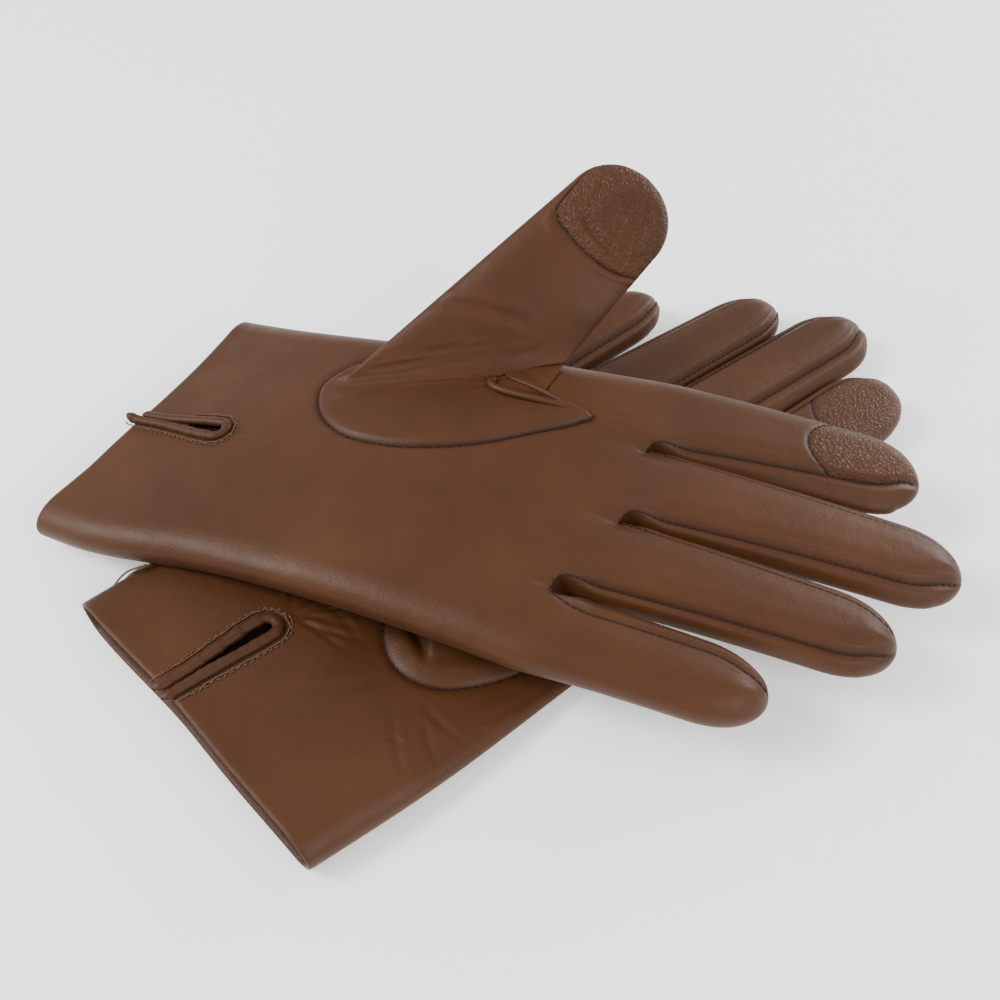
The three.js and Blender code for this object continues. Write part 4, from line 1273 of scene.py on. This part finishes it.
def right_quirk(glove):
    """The right thumb's small gusset, a soft triangle that lies flat beside the folded thumb."""
    u, v = np.meshgrid(np.linspace(0, 1, 24), np.linspace(0, 1, 24), indexing="ij")
    first, second, third = np.array([(101.0, 38.6), (127.0, 37.4), (114.0, 45.5)])
    opposite = second * (1 - v[..., None]) + third * v[..., None]
    plan = first * (1 - u[..., None]) + opposite * u[..., None]
    puff = (np.sin(np.pi * u) * np.sin(np.pi * v)) ** 0.5
    z = palm_height(glove, plan[..., 0], plan[..., 1]) + 0.1 + 0.9 * puff
    shell = Shell()
    shell.add(np.concatenate([plan, z[..., None]], -1))
    shell.add(welt_roll(glove, WELTS["right"]), closed=True)
    piece = shell.build("right_quirk_leather", "right", LEATHER)
    place_piece(piece, body="right_glove", replaces=["right_thumb_quirk"])


def welt_roll(glove, points):
    """The rolled seam of a quirk, thin at both ends."""
    number = np.arange(90)
    steps = np.linspace(0, len(points) - 1, len(number))
    x, y, radius = (through([(k, point[n]) for k, point in enumerate(points)])(steps) for n in range(3))
    path = np.column_stack([x, y, palm_height(glove, x, y) + 0.25])
    ends = np.minimum(number, number[::-1]) / 4
    return roll(path, radius * np.sqrt(np.clip(ends, 0.02, 1)), 14)


def normals_of(grid, closed):
    """Outward unit normals of a closed grid whose rows run from its rim to its tip."""
    ahead = np.gradient(grid, axis=0)
    around = np.roll(grid, -1, 1) - np.roll(grid, 1, 1) if closed else np.gradient(grid, axis=1)
    n = np.cross(around, ahead)
    size = np.linalg.norm(n, axis=2)[..., None]
    return -n / np.maximum(size, 1e-9)


def right_thumb(glove):
    """The base of the folded thumb in the right palm, and the thumb lying flat on it."""
    side = "right"
    phi = np.linspace(0, 2 * np.pi, 160, endpoint=False)
    seam = seam_curve(side, np.degrees(phi))
    middle = np.array([88.0, 23.0])
    grid, grooves = [], []
    for share in (1 - np.linspace(0, 1, 56)[:-1]) ** 1.35:
        xy = middle + (seam - middle) * share
        d = np.linalg.norm(xy - seam, axis=1)
        z = palm_height(glove, xy[:, 0], xy[:, 1]) - SEAM_DEPTH
        z = z + (SEAM_DEPTH + LIP) * (1 - np.exp(-d / 0.9)) + 1.3 * smooth(d, 0, 7)
        z = z + folded_step(xy[:, 0], xy[:, 1]) + 0.16 * cloud(xy[:, 0], xy[:, 1], 4, 51) * smooth(d, 1, 4)
        grid.append(np.column_stack([xy, z]))
        # Painted shade along the base's seam.
        grooves.append(np.exp(-((d / GROOVE_WIDTH) ** 2)))
    shell = Shell()
    shell.add(np.array(grid), np.array(grooves), closed=True)
    last = grid[-1]
    shell.add(np.stack([last, np.ones_like(last) * last.mean(0)]), closed=True)
    piece = shell.build("right_thumb_base_leather", side, LEATHER)
    place_piece(piece, body="right_glove", replaces=["right_thumb_base"])
    line = in_seam(glove, np.linspace(120, 300, 100))
    stitches("right_thumb_seam_stitches", side, line, body="right_glove")

    phi = np.linspace(0, 2 * np.pi, 88, endpoint=False)
    (bx, by), (tx, ty) = FOLDED["base"], FOLDED["tip"]
    length = math.hypot(tx - bx, ty - by)
    along = np.array([(tx - bx) / length, (ty - by) / length])
    straight = 1 - 17 / length
    turn = np.sin(np.linspace(0, np.pi / 2, 22))[1:]
    rows = np.concatenate([np.linspace(0.16, straight, 40), straight + (1 - straight) * turn])
    q = squared_off(np.cos(phi))
    half = FOLDED["half_width"] * (1 - 0.08 * rows) * closing(rows, length, 17)
    thick = FOLDED["thickness"] / 2 * closing(rows, length, 6) * (0.55 + 0.45 * smooth(rows, 0.16, 0.3))
    x = bx + along[0] * length * rows[:, None] - along[1] * half[:, None] * q
    y = by + along[1] * length * rows[:, None] + along[0] * half[:, None] * q
    z = FOLDED["z"] + FOLDED["thickness"] / 2 + 0.7 + thick[:, None] * squared_off(np.sin(phi))
    grid = np.stack([x, y, z + 0.12 * cloud(x, y, 5, 52)], -1)
    cut = int(np.searchsorted(rows, 0.7))
    front = (phi > 0) & (phi < np.pi)
    is_patch = np.zeros((len(rows) - 1, len(phi)), bool)
    is_patch[cut:] = front[None, :] | np.roll(front, -1)[None, :]
    for name, keep, material, nodes in (
        ("right_thumb_leather", ~is_patch, LEATHER, ["right_thumb"]),
        ("right_thumb_patch", is_patch, PATCH_LEATHER, ["right_thumb_touch_patch"]),
    ):
        shell = Shell()
        shell.add(grid, closed=True, keep=keep)
        place_piece(shell.build(name, side, material), body="right_glove", replaces=nodes)
    middle_line = grid.mean(1, keepdims=True)
    shell = Shell()
    shell.add((middle_line + (grid - middle_line) * 0.75)[2:-3], closed=True)
    piece = shell.build("right_thumb_inner_lining", side, KNIT)
    place_piece(piece, body="right_glove", replaces=["right_thumb_lining"])


def folded_step(x, y):
    """The fold where the right thumb turns over: a pocket beside the rim, and higher leather beyond it."""
    (x0, y0), (x1, y1) = (62.5, 11), (54.8, 26.4)
    length = math.hypot(x1 - x0, y1 - y0)
    ahead = ((x - x0) * (x1 - x0) + (y - y0) * (y1 - y0)) / length
    beyond = ((x - x0) * (y1 - y0) - (y - y0) * (x1 - x0)) / length
    fade = smooth(ahead, -3, 2) * smooth(-ahead, -length - 1.5, -length + 8)
    pocket = np.exp(-(((beyond + 1.0) / (0.8 + 0.16 * np.maximum(0, length - ahead))) ** 2))
    return fade * (1.6 * smooth(beyond, -0.6, 0.8) - 2.6 * pocket)


# ---- the thread that ties the pair --------------------------------------------------------------------
# From under the left glove out along its edge, down in a loop beside the right cuff, and back.
THREAD_ROUTE = [
    (-73.2, -66.3, 11.8), (-75.4, -67.4, 10.4), (-77.6, -68.2, 8.6), (-79.7, -68.8, 6.4), (-81.4, -69.4, 4.2),
    (-82.6, -70.2, 2.8), (-83.2, -71.3, 2.6), (-83.2, -72.1, 3.6), (-82.5, -71.7, 5), (-81.2, -70.6, 6.9),
    (-79.6, -69.9, 8.8), (-77.7, -69.3, 10.5), (-75.4, -68.5, 11.9), (-73.4, -67.6, 12.9),
]


THREAD_SIDES = 8
THREAD_POINTS = 105
LOWEST = 48  # the point of the thread that stays with the right glove


def pair_thread():
    """The sewing thread that tacks the two gloves together at their cuffs."""
    route = (np.array(THREAD_ROUTE) - (*CENTRE, 0)) / 1000
    at = np.linspace(0, len(route) - 1, THREAD_POINTS)
    path = np.stack([through(list(enumerate(route[:, k])))(at) for k in range(3)], -1)
    grid = roll(path, np.full(THREAD_POINTS, THREAD_DIAMETER / 2000), THREAD_SIDES, up=(0.6, -0.8, 0.1))
    faces = grid_faces(THREAD_POINTS, THREAD_SIDES, closed=True)
    first_ring = range(THREAD_SIDES)
    faces += [tuple(first_ring)[::-1], tuple((THREAD_POINTS - 1) * THREAD_SIDES + k for k in first_ring)]
    piece = add_mesh("pair_thread_loop", grid, faces, BRONZE)
    low = tuple(path[LOWEST])
    blend = ("right_glove", "left_glove", low, (low[0], low[1], tuple(path[-1])[2]))
    place_piece(piece, blend=blend, replaces=["pair_thread"])


# ---- shading across split leather ---------------------------------------------------------------------
SAME_PLACE = 0.00003  # metres
SAME_FACING = 0.55  # cosine of the widest angle between two normals that are made one


def match_normals(pieces):
    """Gives pieces of one leather the same normals where they were cut, so that the cut doesn't show."""
    entries = []
    normals = []
    for number, piece in enumerate(pieces):
        mesh = piece.data
        values = np.zeros(len(mesh.vertices) * 3)
        mesh.vertices.foreach_get("normal", values)
        normals.append(values.reshape(-1, 3).copy())
        uses = np.zeros(len(mesh.edges), int)
        edges = np.zeros(len(mesh.loops), int)
        mesh.loops.foreach_get("edge_index", edges)
        np.add.at(uses, edges, 1)
        ends = np.array([e.vertices[:] for e in mesh.edges])
        for k in np.unique(ends[uses == 1]):
            entries.append((number, int(k), mesh.vertices[int(k)].co.copy()))
    tree = kdtree.KDTree(len(entries))
    for at, (_, _, place) in enumerate(entries):
        tree.insert(place, at)
    tree.balance()
    before = [n.copy() for n in normals]
    for number, k, place in entries:
        own = before[number][k]
        near = [entries[at] for _, at, _ in tree.find_range(place, SAME_PLACE)]
        others = [before[m][i] for m, i, _ in near if before[m][i] @ own > SAME_FACING]
        total = np.sum(others, axis=0)
        normals[number][k] = total / np.linalg.norm(total)
    for piece, values in zip(pieces, normals):
        piece.data.normals_split_custom_set_from_vertices(values.tolist())


# ---- build it ---------------------------------------------------------------------------------------------
for side, glove in GLOVES.items():
    nodes = [f"{side}_trank", f"{side}_cuff_facing"]
    skins = [place_piece(hand(glove), body=f"{side}_glove", replaces=nodes)]
    for name in ORDER:
        skins += finger(glove, name)
    match_normals(skins)
    vent(glove)
    linings(glove)
match_normals(left_thumb(GLOVES["left"]))
right_thumb(GLOVES["right"])
right_quirk(GLOVES["right"])
for pairing, piece in (("index_middle", "index"), ("middle_ring", "middle"), ("ring_little", "ring")):
    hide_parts(f"right_fourchette_{pairing}")
pair_thread()


# ---- camera, lights and floor -----------------------------------------------------------------------------
SOFTBOX = 0.5  # metres across
FLOOR_GAP = 0.0005  # metres between the lowest point and the floor


def camera():
    """The photo's own view."""
    data = bpy.data.cameras.new("camera")
    data.lens, data.sensor_width = 43.13, 36
    data.clip_start = 0.01
    eye = bpy.data.objects.new("camera", data)
    bpy.context.scene.collection.objects.link(eye)
    eye.location = (0.0803, -0.1991, 0.2665)
    target = Vector((-0.0083, 0.0097, 0))
    eye.rotation_euler = (target - eye.location).to_track_quat("-Z", "Y").to_euler()
    bpy.context.scene.camera = eye


def area_light(name, place, watts):
    """A round softbox that faces the middle of the pair."""
    data = bpy.data.lights.new(name, "AREA")
    data.shape, data.size, data.energy = "DISK", SOFTBOX, watts
    lamp = bpy.data.objects.new(name, data)
    bpy.context.scene.collection.objects.link(lamp)
    lamp.location = place
    lamp.rotation_euler = (-Vector(place)).to_track_quat("-Z", "Y").to_euler()


def studio():
    """A plain pale floor, white surroundings and three softboxes."""
    paint = bpy.data.materials.new("floor")
    paint.use_nodes = True
    inputs = paint.node_tree.nodes["Principled BSDF"].inputs
    inputs["Base Color"].default_value = (0.93, 0.93, 0.93, 1)
    inputs["Roughness"].default_value = 0.9
    inputs["Emission Color"].default_value = (1, 1, 1, 1)
    inputs["Emission Strength"].default_value = 0.4
    floor = add_mesh("floor", [(-3, -3, 0), (3, -3, 0), (3, 3, 0), (-3, 3, 0)], [(0, 1, 2, 3)], paint)
    floor.location.z = cad_box[0][2] - FLOOR_GAP
    world = bpy.data.worlds.new("world")
    world.use_nodes = True
    inputs = world.node_tree.nodes["Background"].inputs
    inputs["Color"].default_value = (1, 1, 1, 1)
    inputs["Strength"].default_value = 1.0
    bpy.context.scene.world = world
    area_light("overhead", (-0.85, -0.45, 0.85), 17)
    area_light("front", (0.75, -0.35, 0.6), 5)
    area_light("back", (0.55, 0.95, 0.42), 9)


camera()
studio()
